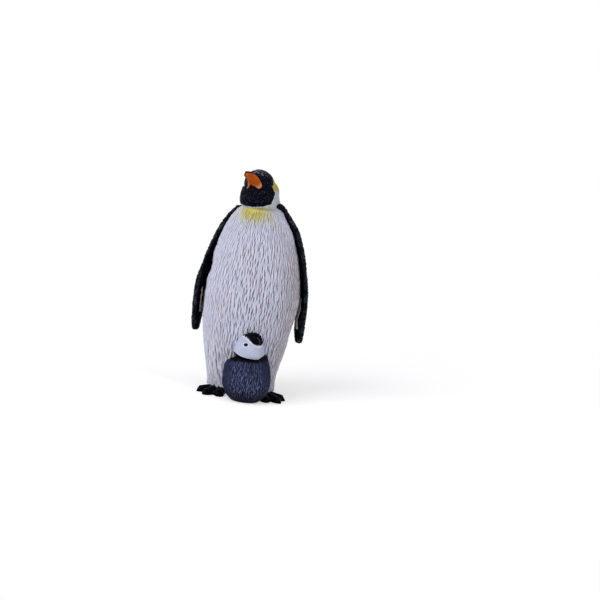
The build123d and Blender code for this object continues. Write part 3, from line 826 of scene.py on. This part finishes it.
@dataclass
class AdultHead:
    """Head, beak, throat bib and white neck side of the adult."""

    skull: Place = (-2.0, 1.55, 82.8)
    turn: float = 22.0
    lift: float = 26.0
    neck_y: float = 2.75
    shown: Fade = Fade(73.6, 74.2)
    voxel: float = 0.15
    rounds: int = 2
    seed: int = 21
    unroll: float = 8.5
    chart: Chart = ((-28.0, 28.0), (70.0, 92.0))
    down: Strokes = Strokes(
        Cut.FEATHER, (0.85, 0.8), (0.9, 1.5), (0.3, 0.46), 0.2, hollow=0.1, crest=(0.14, 0.7))

    beak_at: ClassVar[Row] = (4.2, 7.6, 14)
    beak_wide: Curve = Curve(beak_at, (3.8, 2.6, 0.65))
    beak_high: Curve = Curve(beak_at, (3.1, 2.1, 0.85))
    beak_drop: Curve = Curve(beak_at, (1.5, 0.9, 1.85))
    beak_slant: float = 7.0
    culmen_round: Fade = Fade(135, 160, 0.55)
    culmen_along: Fade = Fade(6, 8.5)
    orange_at: ClassVar[Row] = (4.6, 4.9, 5.8, 7.2, 8.7, 10.1, 12.1, 14)
    orange_left: Curve = Curve(orange_at, (42, 46, 42, 34, 29, 22, 6, -20))
    orange_right: Curve = Curve(orange_at, (52, 66, 84, 103, 128, 142, 140, 136))
    orange_edge: Fade = Fade(5, -5)
    orange_root: Fade = Fade(4.75, 5.05)
    orange_near: Fade = Fade(1.2, 1.08)
    orange_rise: Fade = Fade(0.3, 0.7, 0.12)
    orange_gloss: float = 0.25
    notch: Curve = Curve((4.5, 5.2, 6.6, 7.8), (48, 36, 20, -6))
    notch_edge: Fade = Fade(-4, 4)
    pale_root: Fade = Fade(6.8, 5.2)
    pale_edge: Fade = Fade(-16, -6, 0.9)
    pale_along: Fade = Fade(13, 9)

    stray: Cloud = Cloud(0.9)
    sway: Cloud = Cloud(3.0, shift=2.0)
    bib_low: Curve = Curve((-75, -46, -22, -6, 10, 25), (74.9, 74.45, 74.6, 75, 75.75, 76.5))
    bib_edge: Fade = Fade(-0.25, 0.25, ragged=0.25)
    bib_side: Curve = Curve((74, 76.5, 78.7, 80.6, 82, 83.1, 84.2, 86), (20, 25, 31, 37, 37, 32, 43, 54))
    side_edge: Fade = Fade(3, -3, ragged=2)
    crown: Fade = Fade(85.6, 86.4, ragged=0.3)
    brow: Fade = Fade(4.5, 5.2)
    nape: Curve = Curve((74, 80, 86), (101, 107, 99))
    nape_edge: Fade = Fade(-4, 4, ragged=4)
    nape_sway: float = 6.0
    ear_up: Fade = Fade(80.5, 83.2, 1.3, ragged=0.5)
    ear_sway: float = 0.6
    ear_round: Fade = Fade(112, 70)
    rim_up: Fade = Fade(-0.2, -0.7)
    rim_round: Fade = Fade(-60, -30, out=(42, -5))

    plumed_along: Fade = Fade(8.5, 6.5)
    white_rise: float = 0.4
    white_wash: float = 0.5
    lip: Fade = Fade(74.5, 74.1, 0.12)
    slim_round: Fade = Fade(45, 75, 0.6, out=(150, 110))
    slim_up: Fade = Fade(75.5, 78, out=(82.5, 79.5))
    eye_at: Pair = (2.6, 1.3)
    eye_side: float = 2.0
    eye_edge: Fade = Fade(0.75, 0.45)
    eye_rise: float = 0.2
    eye_gloss: float = 0.9
    # Grey band on the crown's top: partly dry brush, partly a painted highlight where the light falls on the
    # crown.
    crown_brush_and_highlight_up: Fade = Fade(1.6, 2.6, 0.9)
    crown_brush_and_highlight_along: Fade = Fade(3.3, 5)
    crown_brush_and_highlight_patch: Fade = Fade(-0.1, 0.2)
    crown_brush_and_highlight: Cloud = Cloud(1.0, shift=5.0)
    fleck: Cloud = Cloud(1.6, 0.6, 0.6)

    def axes(self) -> tuple[Array, Array, Array]:
        """Frame of the head.

        Returns:
            Directions of the beak, of the bird's right side and of the crown.
        """
        turn, lift = math.radians(self.turn), math.radians(self.lift)
        look = np.array([-math.sin(turn) * math.cos(lift), -math.cos(turn) * math.cos(lift), math.sin(lift)])
        side = np.array([-math.cos(turn), math.sin(turn), 0.0])
        return look, side, np.cross(side, look)

    def beak(self, along: Array, side: Array, up: Array) -> tuple[Array, Array, Array]:
        """Finds the beak's paint and its raised ridge.

        Args:
            along: Places along the beak from the skull's middle.
            side: Places to the bird's right.
            up: Places towards the crown.

        Returns:
            Share of orange, share of cream and rise of the ridge.
        """
        aside = side / self.beak_wide(along)
        above = (up + self.beak_drop(along)) / self.beak_high(along)
        turn = np.degrees(np.arctan2(aside, -above))
        culmen = self.culmen_round(np.abs(turn)) * self.culmen_along(along)
        turn = turn + self.beak_slant
        left = turn - self.orange_left(along)
        orange = self.orange_edge(-turn - self.orange_right(along)) * self.orange_edge(left)
        orange *= self.notch_edge(np.abs(turn) - self.notch(along))
        orange *= self.orange_root(along) * self.orange_near(np.hypot(aside, above))
        pale = np.maximum(self.pale_root(along), self.pale_edge(left) * self.pale_along(along))
        return orange, orange * pale, culmen

    def build(self) -> None:
        """Builds and dresses the head."""
        skin = Skin.remeshed("head", self.voxel, self.rounds)
        along, side, up = ((skin.points - np.array(self.skull)) @ axis for axis in self.axes())
        x, y, z = skin.points.T
        bearing = np.degrees(np.arctan2(x, self.neck_y - y))
        stray, sway = self.stray(skin.points), self.sway(skin.points)
        orange, cream, culmen = self.beak(along, side, up)

        mirrored = np.where(bearing < -self.turn, -2.0 * self.turn - bearing, bearing)
        mirrored = np.where(mirrored > 180.0, mirrored - 360.0, mirrored)
        above = z - self.bib_low(bearing)
        bib = self.side_edge(mirrored - self.bib_side(z), stray) * self.bib_edge(above, stray)
        skull = self.crown(z, stray) + self.brow(along)
        nape = self.nape_edge(mirrored + self.nape_sway * sway - self.nape(z), stray)
        black = np.clip(np.maximum(np.maximum(bib, skull), nape), 0, 1)
        ear = self.ear_up(z + self.ear_sway * sway, stray) * self.ear_round(mirrored)
        yellow = np.maximum(ear, self.rim_up(above) * self.rim_round(bearing)) * (1 - black)

        across = np.radians(bearing) * self.unroll
        rise, hollow, crest = Relief(*self.chart, self.down, self.seed, across, z).lay()
        shown = self.shown(z)
        plumed = shown * (1 - orange) * self.plumed_along(along)
        eyes = self.eye_edge(np.hypot(along - self.eye_at[0], up - self.eye_at[1]))
        eyes *= np.abs(side) > self.eye_side
        rise = rise * plumed * np.where(black > 0.5, 1.0, self.white_rise) + self.lip(z) * shown
        rise += self.orange_rise(orange) + self.eye_rise * eyes + culmen
        skin.push(rise - self.slim_round(bearing) * self.slim_up(z))

        # Grey crown band, partly dry brush and partly a painted highlight, added to the crest mask.
        crown_brush_and_highlight = self.crown_brush_and_highlight_up(up) * self.crown_brush_and_highlight_along(along) * self.crown_brush_and_highlight_patch(self.crown_brush_and_highlight(skin.points))
        crest = crest * self.fleck(skin.points) + crown_brush_and_highlight
        skin.mark(
            orange=orange, cream=cream, black=black, yellow=yellow,
            gloss=self.eye_gloss * eyes + self.orange_gloss * orange,
            groove=hollow * plumed * np.where(black > 0.5, 1.0, self.white_wash),
            crest=crest * black * plumed * (1 - eyes))
        skin.piece("head_plumage", HEAD_PAINT, "head_plumage", "head")


@dataclass
class Flipper:
    """One of the adult's two long paddles."""

    node: str
    way: int
    trim: Curve
    inner: Curve
    set_back: float
    lining: float
    stripe: Curve
    stripe_half: float
    lobe_line: tuple[Place, ...] = ()
    lobe_half: Row = ()
    lobe_thick: float = 0.9
    lobe_y: float = 2.75
    lobe_sides: int = 16
    voxel: float = 0.17
    rounds: int = 3
    seed: int = 33
    slant: float = 1.3
    chart: Chart = ((-50.0, 30.0), (18.0, 82.0))
    scale: Strokes = Strokes(
        Cut.FEATHER, (1.0, 1.0), (1.1, 1.8), (0.42, 0.6), 0.4, sink=0.24, cells=5, hollow=0.16,
        crest=(0.3, 0.35))
    rough: Cloud = Cloud(0.8, swing=0.26)
    inside: Fade = Fade(-0.35, -0.75)
    outside: Fade = Fade(-0.5, 0.6)
    inside_calm: float = 0.5
    inside_wash: float = 0.6
    set_up: Fade = Fade(50, 64, out=(76, 72))
    set_front: Fade = Fade(5.2, 0.4)
    speck: Cloud = Cloud(3.0, 0.6, 1.2)
    lined_up: Fade = Fade(27, 32, out=(47.5, 45))
    lined_edge: Fade = Fade(-0.4, 0.4)
    lined_cloud: Cloud = Cloud(2.5, 0.9, 0.3)
    stripe_edge: Fade = Fade(0.15, -0.15)
    stripe_low: Fade = Fade(-0.5, 0.5)
    stripe_high: Fade = Fade(1, -1)
    stripe_face: float = -0.2

    def lobe(self) -> tuple[Array, Faces]:
        """Root of the flipper, which runs up over the neck's side.

        Returns:
            Points and faces of a closed form.
        """
        line, rings = np.array(self.lobe_line), []
        turn = np.linspace(0, 2 * math.pi, self.lobe_sides, endpoint=False)[:, None]
        for i, centre in enumerate(line):
            way = line[min(i + 1, len(line) - 1)] - line[max(i - 1, 0)]
            out = centre - np.array([0.0, self.lobe_y, centre[2]])
            out /= np.linalg.norm(out)
            broad = np.cross(out, way / np.linalg.norm(way)) * self.lobe_half[i]
            rings.append(centre + np.cos(turn) * broad + np.sin(turn) * out * self.lobe_thick)
        index = np.arange(len(rings) * self.lobe_sides).reshape(len(rings), -1)
        faces = [tuple(index[0, ::-1].tolist()), tuple(index[-1].tolist())]
        return np.concatenate(rings), faces + quads(np.column_stack([index, index[:, 0]]))

    def build(self) -> None:
        """Builds and dresses the flipper."""
        skin = Skin.remeshed(self.node, self.voxel, self.rounds, [self.lobe()] if self.lobe_line else [])
        x, y, z = skin.points.T
        faced = skin.normals[:, 0] * self.way
        around = y - self.slant * self.way * x
        rise, hollow, crest = Relief(*self.chart, self.scale, self.seed + self.way, around, z).lay()
        inside, outside = self.inside(faced), self.outside(faced)
        skin.push((rise + self.rough(skin.points)) * (1 - self.inside_calm * inside))
        skin.points[:, 0] += self.way * (self.trim(z) * outside - self.inner(z) * (1 - outside))
        skin.points[:, 1] += self.set_back * self.set_up(z) * self.set_front(y)

        stripe = self.stripe_edge(np.abs(y - self.stripe(z)) - self.stripe_half) * (faced < self.stripe_face)
        stripe *= self.stripe_low(z - self.stripe.at[0]) * self.stripe_high(z - self.stripe.at[1])
        lined = inside * self.lined_up(z) * self.lined_edge(y - self.lining) * self.lined_cloud(skin.points)
        skin.mark(
            groove=hollow * (1 - self.inside_wash * inside), cream=np.maximum(lined, stripe),
            crest=crest * self.speck(skin.points) * (1 - inside))
        skin.piece(self.node + "_plumage", FLIPPER_PAINT, "flipper_plumage", self.node)


TRIM_AT = (22, 30, 37, 42.5, 47, 50, 57, 61, 67, 70, 73)
INNER_AT = (20, 27, 32, 36)
LEFT_FLIPPER = Flipper(
    node="left_flipper", way=1, set_back=1.1, lining=3.0,
    stripe=Curve((28, 40.5), (3.5, 2.8)), stripe_half=0.7,
    trim=Curve(TRIM_AT, (-0.3, -0.4, 0.1, 0.3, 0.1, -0.1, -0.1, -0.1, 0.35, 0.15, 0.1)),
    inner=Curve(INNER_AT, (0.4, 0.9, 0.9, 0)), lobe_half=(1.9, 1.8, 1.6, 1.35, 1.1, 0.5),
    lobe_line=((11.0, 3.6, 70.6), (9.9, 2.9, 72.6), (8.5, 1.5, 74.4), (7.2, -0.6, 75.6), (6.4, -2.0, 75.7),
               (5.9, -2.75, 75.4)))
RIGHT_FLIPPER = Flipper(
    node="right_flipper", way=-1, set_back=1.3, lining=4.9,
    stripe=Curve((29.8, 39.8), (4, 2.4)), stripe_half=0.5,
    trim=Curve(TRIM_AT, (0, 0.1, 0.5, 0.7, 0.2, -0.2, -0.4, -0.35, 0.05, 0.25, 0.1)),
    inner=Curve(INNER_AT, (0, 0, 0, 0)))


@dataclass
class Underparts:
    """The adult's feet and tail."""

    voxel: float = 0.15
    rounds: int = 3
    seed: int = 41
    raised: Fade = Fade(0.2, 0.8)
    warts: Cloud = Cloud(0.8)
    beads: Cloud = Cloud(0.4, swing=0.5, shift=4.0)
    wart_rise: float = 0.22
    wart_sink: float = 0.3
    wart_wash: Fade = Fade(0.25, 0)
    wart_brush: Fade = Fade(0.35, 0.7)
    tail_chart: Chart = ((-14.0, 14.0), (-30.0, -5.0))
    tail_raised: Fade = Fade(0.1, 0.6)
    quills: Strokes = Strokes(
        Cut.FEATHER, (1.1, 2.6), (4.0, 6.5), (0.45, 0.65), 0.28, lean=0.08, sink=0.12, cells=5, hollow=0.15,
        crest=(0.28, 0.5))

    def build_foot(self, name: str) -> None:
        """Builds and dresses one foot.

        Args:
            name: CAD node of the foot.
        """
        skin = Skin.remeshed(name, self.voxel, self.rounds)
        raised = self.raised(skin.points[:, 2])
        warts = np.abs(self.warts(skin.points)) + self.beads(skin.points)
        skin.push(self.wart_rise * (warts - self.wart_sink) * raised)
        skin.rest()
        skin.mark(groove=self.wart_wash(warts), crest=self.wart_brush(warts) * raised)
        skin.piece(name + "_skin", FOOT_PAINT, "foot_skin", name)

    def build_tail(self) -> None:
        """Builds and dresses the tail with its long stiff feathers."""
        skin = Skin.remeshed("tail", self.voxel, self.rounds)
        x, y, z = skin.points.T
        rise, hollow, crest = Relief(*self.tail_chart, self.quills, self.seed, x, -y).lay()
        skin.push(rise * self.tail_raised(z))
        skin.rest()
        skin.mark(groove=hollow, crest=crest)
        skin.piece("tail_plumage", BLACK_PLUMAGE, "back_plumage", "tail")


@dataclass
class Chick:
    """The chick that sits in front of the adult's feet."""

    axis: Pair = (3.2, -13.35)
    voxel: float = 0.135
    rounds: int = 3
    seed: int = 55
    unroll: float = 9.0
    chart: Chart = ((-29.0, 29.0), (-2.0, 20.0))
    down: Strokes = Strokes(
        Cut.FEATHER, (0.58, 1.0), (1.2, 2.0), (0.13, 0.19), 0.28, lean=0.18, crest=(0.15, 0.5))
    free_up: Fade = Fade(0.2, 1.2)
    free_side: Fade = Fade(0.9, 0.5)
    wing_at: Pair = (-4.6, -17.0)
    wing_form: Pair = (0.9, 0.7)
    wing_edge: Fade = Fade(4.2, 3)
    wing_up: Fade = Fade(16, 14)
    wing_calm: float = 0.55
    wing_wash: float = 0.5
    wing_brush: float = 0.6
    shoulder_side: Fade = Fade(-2.5, -6)
    left_shoulder: Curve = Curve(
        (9.5, 12, 13.5, 14.8, 15.6, 16.5, 17.5), (0, 0.5, 0.75, 0.5, -0.4, -1.4, -1.5))
    perk_up: Fade = Fade(15.5, 17, 1.4)
    perk_side: Fade = Fade(3, 5.5)
    # Painted shadow: the down turns darker towards the bottom, and the dry brush fades out there.
    painted_base_shadow: Fade = Fade(8, 1, 0.7)
    brush_low: Fade = Fade(14.5, 9, 0.36)
    brush_cloud: Cloud = Cloud(4.0, 0.36, 0.3)
    brush_sides: float = 0.4
    brush_across: Fade = Fade(-9.5, -5, 0.6, out=(9, 5))
    brush_above_base_shadow: Fade = Fade(0.5, 5)
    collar: float = 16.2
    collar_edge: Fade = Fade(-0.5, 0.5, ragged=0.3)
    collar_stray: Cloud = Cloud(1.2)
    collar_drop: Fade = Fade(1, -4, 0.6)

    head: Place = (3.2, -14.4, 19.3)
    head_radius: float = 6.4
    head_rise: float = 7.1
    head_voxel: float = 0.12
    head_rounds: int = 2
    head_unroll: float = 6.2
    head_chart: Chart = ((-24.0, 24.0), (-8.0, 8.0))
    fuzz: Strokes = Strokes(
        Cut.FEATHER, (0.9, 0.9), (1.0, 1.8), (0.26, 0.4), 0.3, lean=0.6, sink=0.15, hollow=0.15)
    fuzz_share: float = 0.2
    face_turn: float = 49.0
    stray: Cloud = Cloud(0.7)
    cap: Curve = Curve(
        (0, 8, 18, 31, 43, 59, 77, 127, 155, 162, 170),
        (3.2, 3.2, 3.3, 3.8, 4.7, 5.5, 5.95, 6.35, 6, 0, -6))
    cap_edge: Fade = Fade(-0.25, 0.25, ragged=0.3)
    cap_rim: Fade = Fade(-0.6, -0.4, 0.8, ragged=0.3)
    chin: Curve = Curve(
        (-6, -5.6, -4.6, -3.1, -1.6, 0, 2.6, 3.9, 4.9, 5.6, 6.1),
        (-0.1, -0.2, -0.6, -1.05, -1.4, -1.58, -1.81, -1.86, -1.75, -1.16, -0.5))
    chin_edge: Fade = Fade(0.15, -0.15)
    chin_rim: Fade = Fade(0.5, 0.3)
    chin_sink: float = 0.25
    bill_rise: float = 3.8
    bill_ahead: float = 3.0
    bill_proud: Fade = Fade(0.1, 0.35)
    bill_near: Fade = Fade(2.2, 1.8)
    bill_gloss: float = 0.3
    eye: Place = (-1.45, -5.33, 3.55)
    eye_size: Pair = (0.85, 0.62)
    eye_edge: Fade = Fade(1.1, 0.9)
    eye_rise: float = 0.22
    ring_edge: Fade = Fade(1.7, 1.45)
    ring_rise: float = 0.06
    far: float = 9.0
    shade: Fade = Fade(-1, -3.5, 0.8)
    tuft: Cloud = Cloud(0.75, 0.5, shift=3.0)
    tuft_least: float = 0.25
    tuft_rise: float = 0.9
    tuft_brush: Fade = Fade(0.6, 0.9)
    crest_least: float = 0.35
    crest_side: Fade = Fade(-2.5, 0.8, 0.65)
    cheek_side: Fade = Fade(3.5, 6, 0.65)
    cheek_up: Fade = Fade(4, 2.5)
    lean_up: Fade = Fade(2.4, 4.2)
    lean_side: Fade = Fade(1, 4.5)
    lean_by: Pair = (1.6, 1.2)
    face_wash: float = 0.2

    def build_body(self) -> None:
        """Builds and dresses the downy body."""
        skin = Skin.remeshed("chick_body", self.voxel, self.rounds)
        x, y, z = skin.points.T
        off = x - self.axis[0]
        across = np.arctan2(off, self.axis[1] - y) * self.unroll
        rise, hollow, crest = Relief(*self.chart, self.down, self.seed, across, z).lay()
        free = self.free_up(z) * self.free_side(np.abs(skin.normals[:, 2]))
        away = (np.column_stack([x, y]) - np.array(self.wing_at)) * np.array(self.wing_form)
        wing = self.wing_edge(np.hypot(*away.T)) * self.wing_up(z)
        skin.push(rise * free * (1 - self.wing_calm * wing))
        skin.points[:, 0] -= self.left_shoulder(z) * self.shoulder_side(off)
        skin.points[:, 2] += self.perk_up(z) * self.perk_side(off)
        skin.rest()

        # Dry brush fades out towards the bottom, under the painted shadow.
        patch = self.brush_low(z) + self.brush_cloud(skin.points)
        patch = patch * (self.brush_sides + self.brush_across(across)) * self.brush_above_base_shadow(z)
        collar = self.collar_edge(z - self.collar + self.collar_drop(x), self.collar_stray(skin.points))
        # The groove mask also carries the painted shadow at the bottom of the body.
        skin.mark(
            groove=hollow * (1 - self.wing_wash * wing) + self.painted_base_shadow(z), black=collar,
            crest=crest * patch * (1 - self.wing_brush * wing) * (1 - collar))
        skin.piece("chick_down", CHICK_DOWN, "chick_down", "chick_body")

    def build_head(self) -> None:
        """Builds and dresses the head with its face, cap, eyes and bill."""
        skin = Skin.remeshed("chick_head", self.head_voxel, self.head_rounds)
        q = skin.points - np.array(self.head)
        x, y, z = q.T
        bearing = np.degrees(np.arctan2(x, -y)) - self.face_turn
        bearing = (bearing + 180.0) % 360.0 - 180.0
        stray = self.stray(skin.points)
        above_cap = z - self.cap(np.abs(bearing))
        above_chin = z - self.chin(x)
        cap, neck = self.cap_edge(above_cap, stray), self.chin_edge(above_chin)
        bill = self.bill(q)
        eyes, rings = self.eyes(q)
        black = np.clip(np.maximum(np.maximum(cap * (1 - bill), eyes), neck), 0, 1)
        rim = np.maximum(self.chin_rim(above_chin), self.cap_rim(above_cap, stray)) * (1 - bill)

        across = np.radians(bearing) * self.head_unroll
        fuzz, hollow, _ = Relief(*self.head_chart, self.fuzz, self.seed + 1, across, z).lay()
        tuft = np.clip(self.tuft(skin.points), 0, 1)
        rise = cap * (self.tuft_least + self.tuft_rise * tuft) * (self.crest_least + self.crest_side(x))
        rise = (rise + (1 - cap) * (1 - rings) * self.fuzz_share * fuzz) * (1 - bill)
        skin.push(rise + self.eye_rise * eyes + self.ring_rise * rings - self.chin_sink * neck)
        lean = self.lean_up(z) * self.lean_side(x)
        skin.points[:, 0] -= self.cheek_side(x) * self.cheek_up(z) + self.lean_by[0] * lean
        skin.points[:, 2] += self.lean_by[1] * lean
        skin.mark(
            black=black, cream=bill, white=np.maximum(rings, rim) * (1 - black),
            shade=self.shade(z) * (1 - cap), gloss=eyes + self.bill_gloss * bill,
            crest=self.tuft_brush(tuft) * cap * (1 - bill),
            groove=hollow * (1 - rings) * (1 - bill) * np.where(cap > 0.5, 1.0, self.face_wash))
        skin.piece("chick_head_down", CHICK_FACE, "chick_face", "chick_head")

    def bill(self, q: Array) -> Array:
        """Place of the bill, which stands proud of the head's oval.

        Args:
            q: Points from the middle of the head.

        Returns:
            Share of bill at every point.
        """
        (x, y, z), turn = q.T, math.radians(self.face_turn)
        ahead = x * math.sin(turn) - y * math.cos(turn)
        beside = x * math.cos(turn) + y * math.sin(turn)
        oval = np.sqrt(np.clip(1.0 - (z / self.head_rise) ** 2, 0.0, 1.0)) * self.head_radius
        near = self.bill_near(np.hypot(beside, z - self.bill_rise))
        return self.bill_proud(np.hypot(x, y) - oval) * near * (ahead > self.bill_ahead)

    def eyes(self, q: Array) -> tuple[Array, Array]:
        """Places of both eyes and of the pale rings round them.

        Args:
            q: Points from the middle of the head.

        Returns:
            Share of eye and share of eye and ring at every point.
        """
        turn = math.radians(self.face_turn)
        ahead = np.array([math.sin(turn), -math.cos(turn), 0.0])
        across = np.array([math.cos(turn), math.sin(turn), 0.0])
        first = np.array(self.eye)
        eyes, rings = np.zeros(len(q)), np.zeros(len(q))
        for centre in (first, first - 2.0 * (first @ across) * across):
            flat = centre * np.array([1.0, 1.0, 0.0])
            wide = np.cross(np.array([0.0, 0.0, 1.0]), flat / np.linalg.norm(flat))
            away = (q - centre) @ wide / self.eye_size[0], (q[:, 2] - centre[2]) / self.eye_size[1]
            away = np.where((q @ flat > 0) & (q @ ahead > 0), np.hypot(*away), self.far)
            eyes += self.eye_edge(away)
            rings += self.ring_edge(away)
        return eyes, rings


@dataclass
class Studio:
    """Floor, lamps, world and camera."""

    azimuth: float = 4.0
    elevation: float = 11.0
    distance: float = 0.8
    roll: float = 7.0
    focal: float = 2016.0
    base: Pair = (239.0, 393.0)
    image: float = 600.0
    sensor: float = 36.0
    clip_start: float = 0.01
    floor_half: float = 6.0
    floor_colour: Colour = (0.93, 0.93, 0.94)
    floor_glow: float = 0.42
    fade: Pair = (0.08, 0.26)
    white: Colour = (1.0, 1.0, 1.0)
    ambient: float = 0.45
    target: Place = (0.0, 0.0, 0.04)
    lamp_size: float = 0.5
    lamps: tuple[tuple[str, Place, float], ...] = (
        ("key", (-0.45, -0.55, 0.55), 3.6), ("fill", (0.6, -0.35, 0.4), 1.0))

    def build_camera(self) -> None:
        """Sets the camera at the viewing angle."""
        az, el, roll = (math.radians(a) for a in (self.azimuth, self.elevation, self.roll))
        back = Vector((math.sin(az) * math.cos(el), -math.cos(az) * math.cos(el), math.sin(el)))
        flat = Vector((math.cos(az), math.sin(az), 0.0))
        steep = back.cross(flat)
        right = flat * math.cos(roll) + steep * math.sin(roll)
        up = steep * math.cos(roll) - flat * math.sin(roll)
        half = self.image / 2.0
        aside, above = (half - self.base[0]) / self.focal, (self.base[1] - half) / self.focal
        centre = (right * aside + up * above - back).normalized()
        x_axis = (right - centre * right.dot(centre)).normalized()
        turned = Matrix((x_axis, (-centre).cross(x_axis), -centre)).transposed()
        lens = bpy.data.cameras.new("camera")
        lens.sensor_width = self.sensor
        lens.lens = self.focal / self.image * self.sensor
        lens.clip_start = self.clip_start
        camera = bpy.data.objects.new("camera", lens)
        camera.matrix_world = Matrix.Translation(back * self.distance) @ turned.to_4x4()
        bpy.context.scene.collection.objects.link(camera)
        bpy.context.scene.camera = camera

    def build_lamps(self) -> None:
        """Hangs the soft square lamps, which face the object."""
        for name, place, power in self.lamps:
            light = bpy.data.lights.new(name, "AREA")
            light.size, light.energy = self.lamp_size, power
            lamp = bpy.data.objects.new(name, light)
            lamp.location = place
            lamp.rotation_euler = (Vector(self.target) - Vector(place)).to_track_quat("-Z", "Y").to_euler()
            bpy.context.scene.collection.objects.link(lamp)

    def seen(self, bench: NodeBench) -> Socket:
        """Finds the rays that show the background: camera, glossy and transmission rays.

        Args:
            bench: Nodes to add to.

        Returns:
            1 for those rays and 0 for the rest.
        """
        rays = bench.add("LightPath", {})
        first = bench.math("MAXIMUM", rays["Is Camera Ray"], rays["Is Glossy Ray"])
        return bench.math("MAXIMUM", first, rays["Is Transmission Ray"])

    def build_world(self) -> None:
        """Builds white surroundings that give a plain soft light."""
        world = bpy.data.worlds.new("studio")
        bench = NodeBench(world)
        level = bench.add("MapRange", {"Value": self.seen(bench), "To Min": self.ambient, "To Max": 1.0})
        shader = bench.add("Background", {"Color": self.white, "Strength": level["Result"]})
        bench.add("OutputWorld", {0: shader[0]})
        bpy.context.scene.world = world

    def build_floor(self) -> None:
        """Builds a plain pale floor that keeps the object's shadow."""
        mesh, half = bpy.data.meshes.new("floor"), self.floor_half
        corners = [(-half, -half, 0), (half, -half, 0), (half, half, 0), (-half, half, 0)]
        mesh.from_pydata(corners, [], [(0, 1, 2, 3)])
        material = bpy.data.materials.new("floor")
        bench = NodeBench(material)
        seen = self.seen(bench)
        paper = bench.add("BsdfDiffuse", {"Color": self.floor_colour})
        glow = bench.add("Emission", {"Strength": bench.math("MULTIPLY", seen, self.floor_glow)})
        both = bench.add("AddShader", {0: paper[0], 1: glow[0]})
        away = bench.add("VectorMath", {0: bench.place}, operation="LENGTH")["Value"]
        share = bench.math("MULTIPLY", bench.band(away, *self.fade), seen)
        plain = bench.add("Emission", {"Color": self.white})
        mixed = bench.add("MixShader", {"Fac": share, 1: both[0], 2: plain[0]})
        bench.add("OutputMaterial", {0: mixed[0]})
        mesh.materials.append(material)
        floor = bpy.data.objects.new("floor", mesh)
        bpy.context.scene.collection.objects.link(floor)

    def build(self) -> None:
        """Builds the whole studio."""
        self.build_camera()
        self.build_world()
        self.build_floor()
        self.build_lamps()
        bpy.context.scene.view_settings.view_transform = "Standard"


def main() -> None:
    """Builds the studio and every piece in order."""
    logging.basicConfig(level=logging.INFO, format="%(name)s: %(message)s")
    Studio().build()
    body = AdultBody()
    body.build_belly()
    body.build_back()
    body.dress_core()
    AdultHead().build()
    LEFT_FLIPPER.build()
    RIGHT_FLIPPER.build()
    under = Underparts()
    under.build_foot("left_foot")
    under.build_foot("right_foot")
    under.build_tail()
    chick = Chick()
    chick.build_body()
    chick.build_head()


if __name__ == "__main__":
    main()
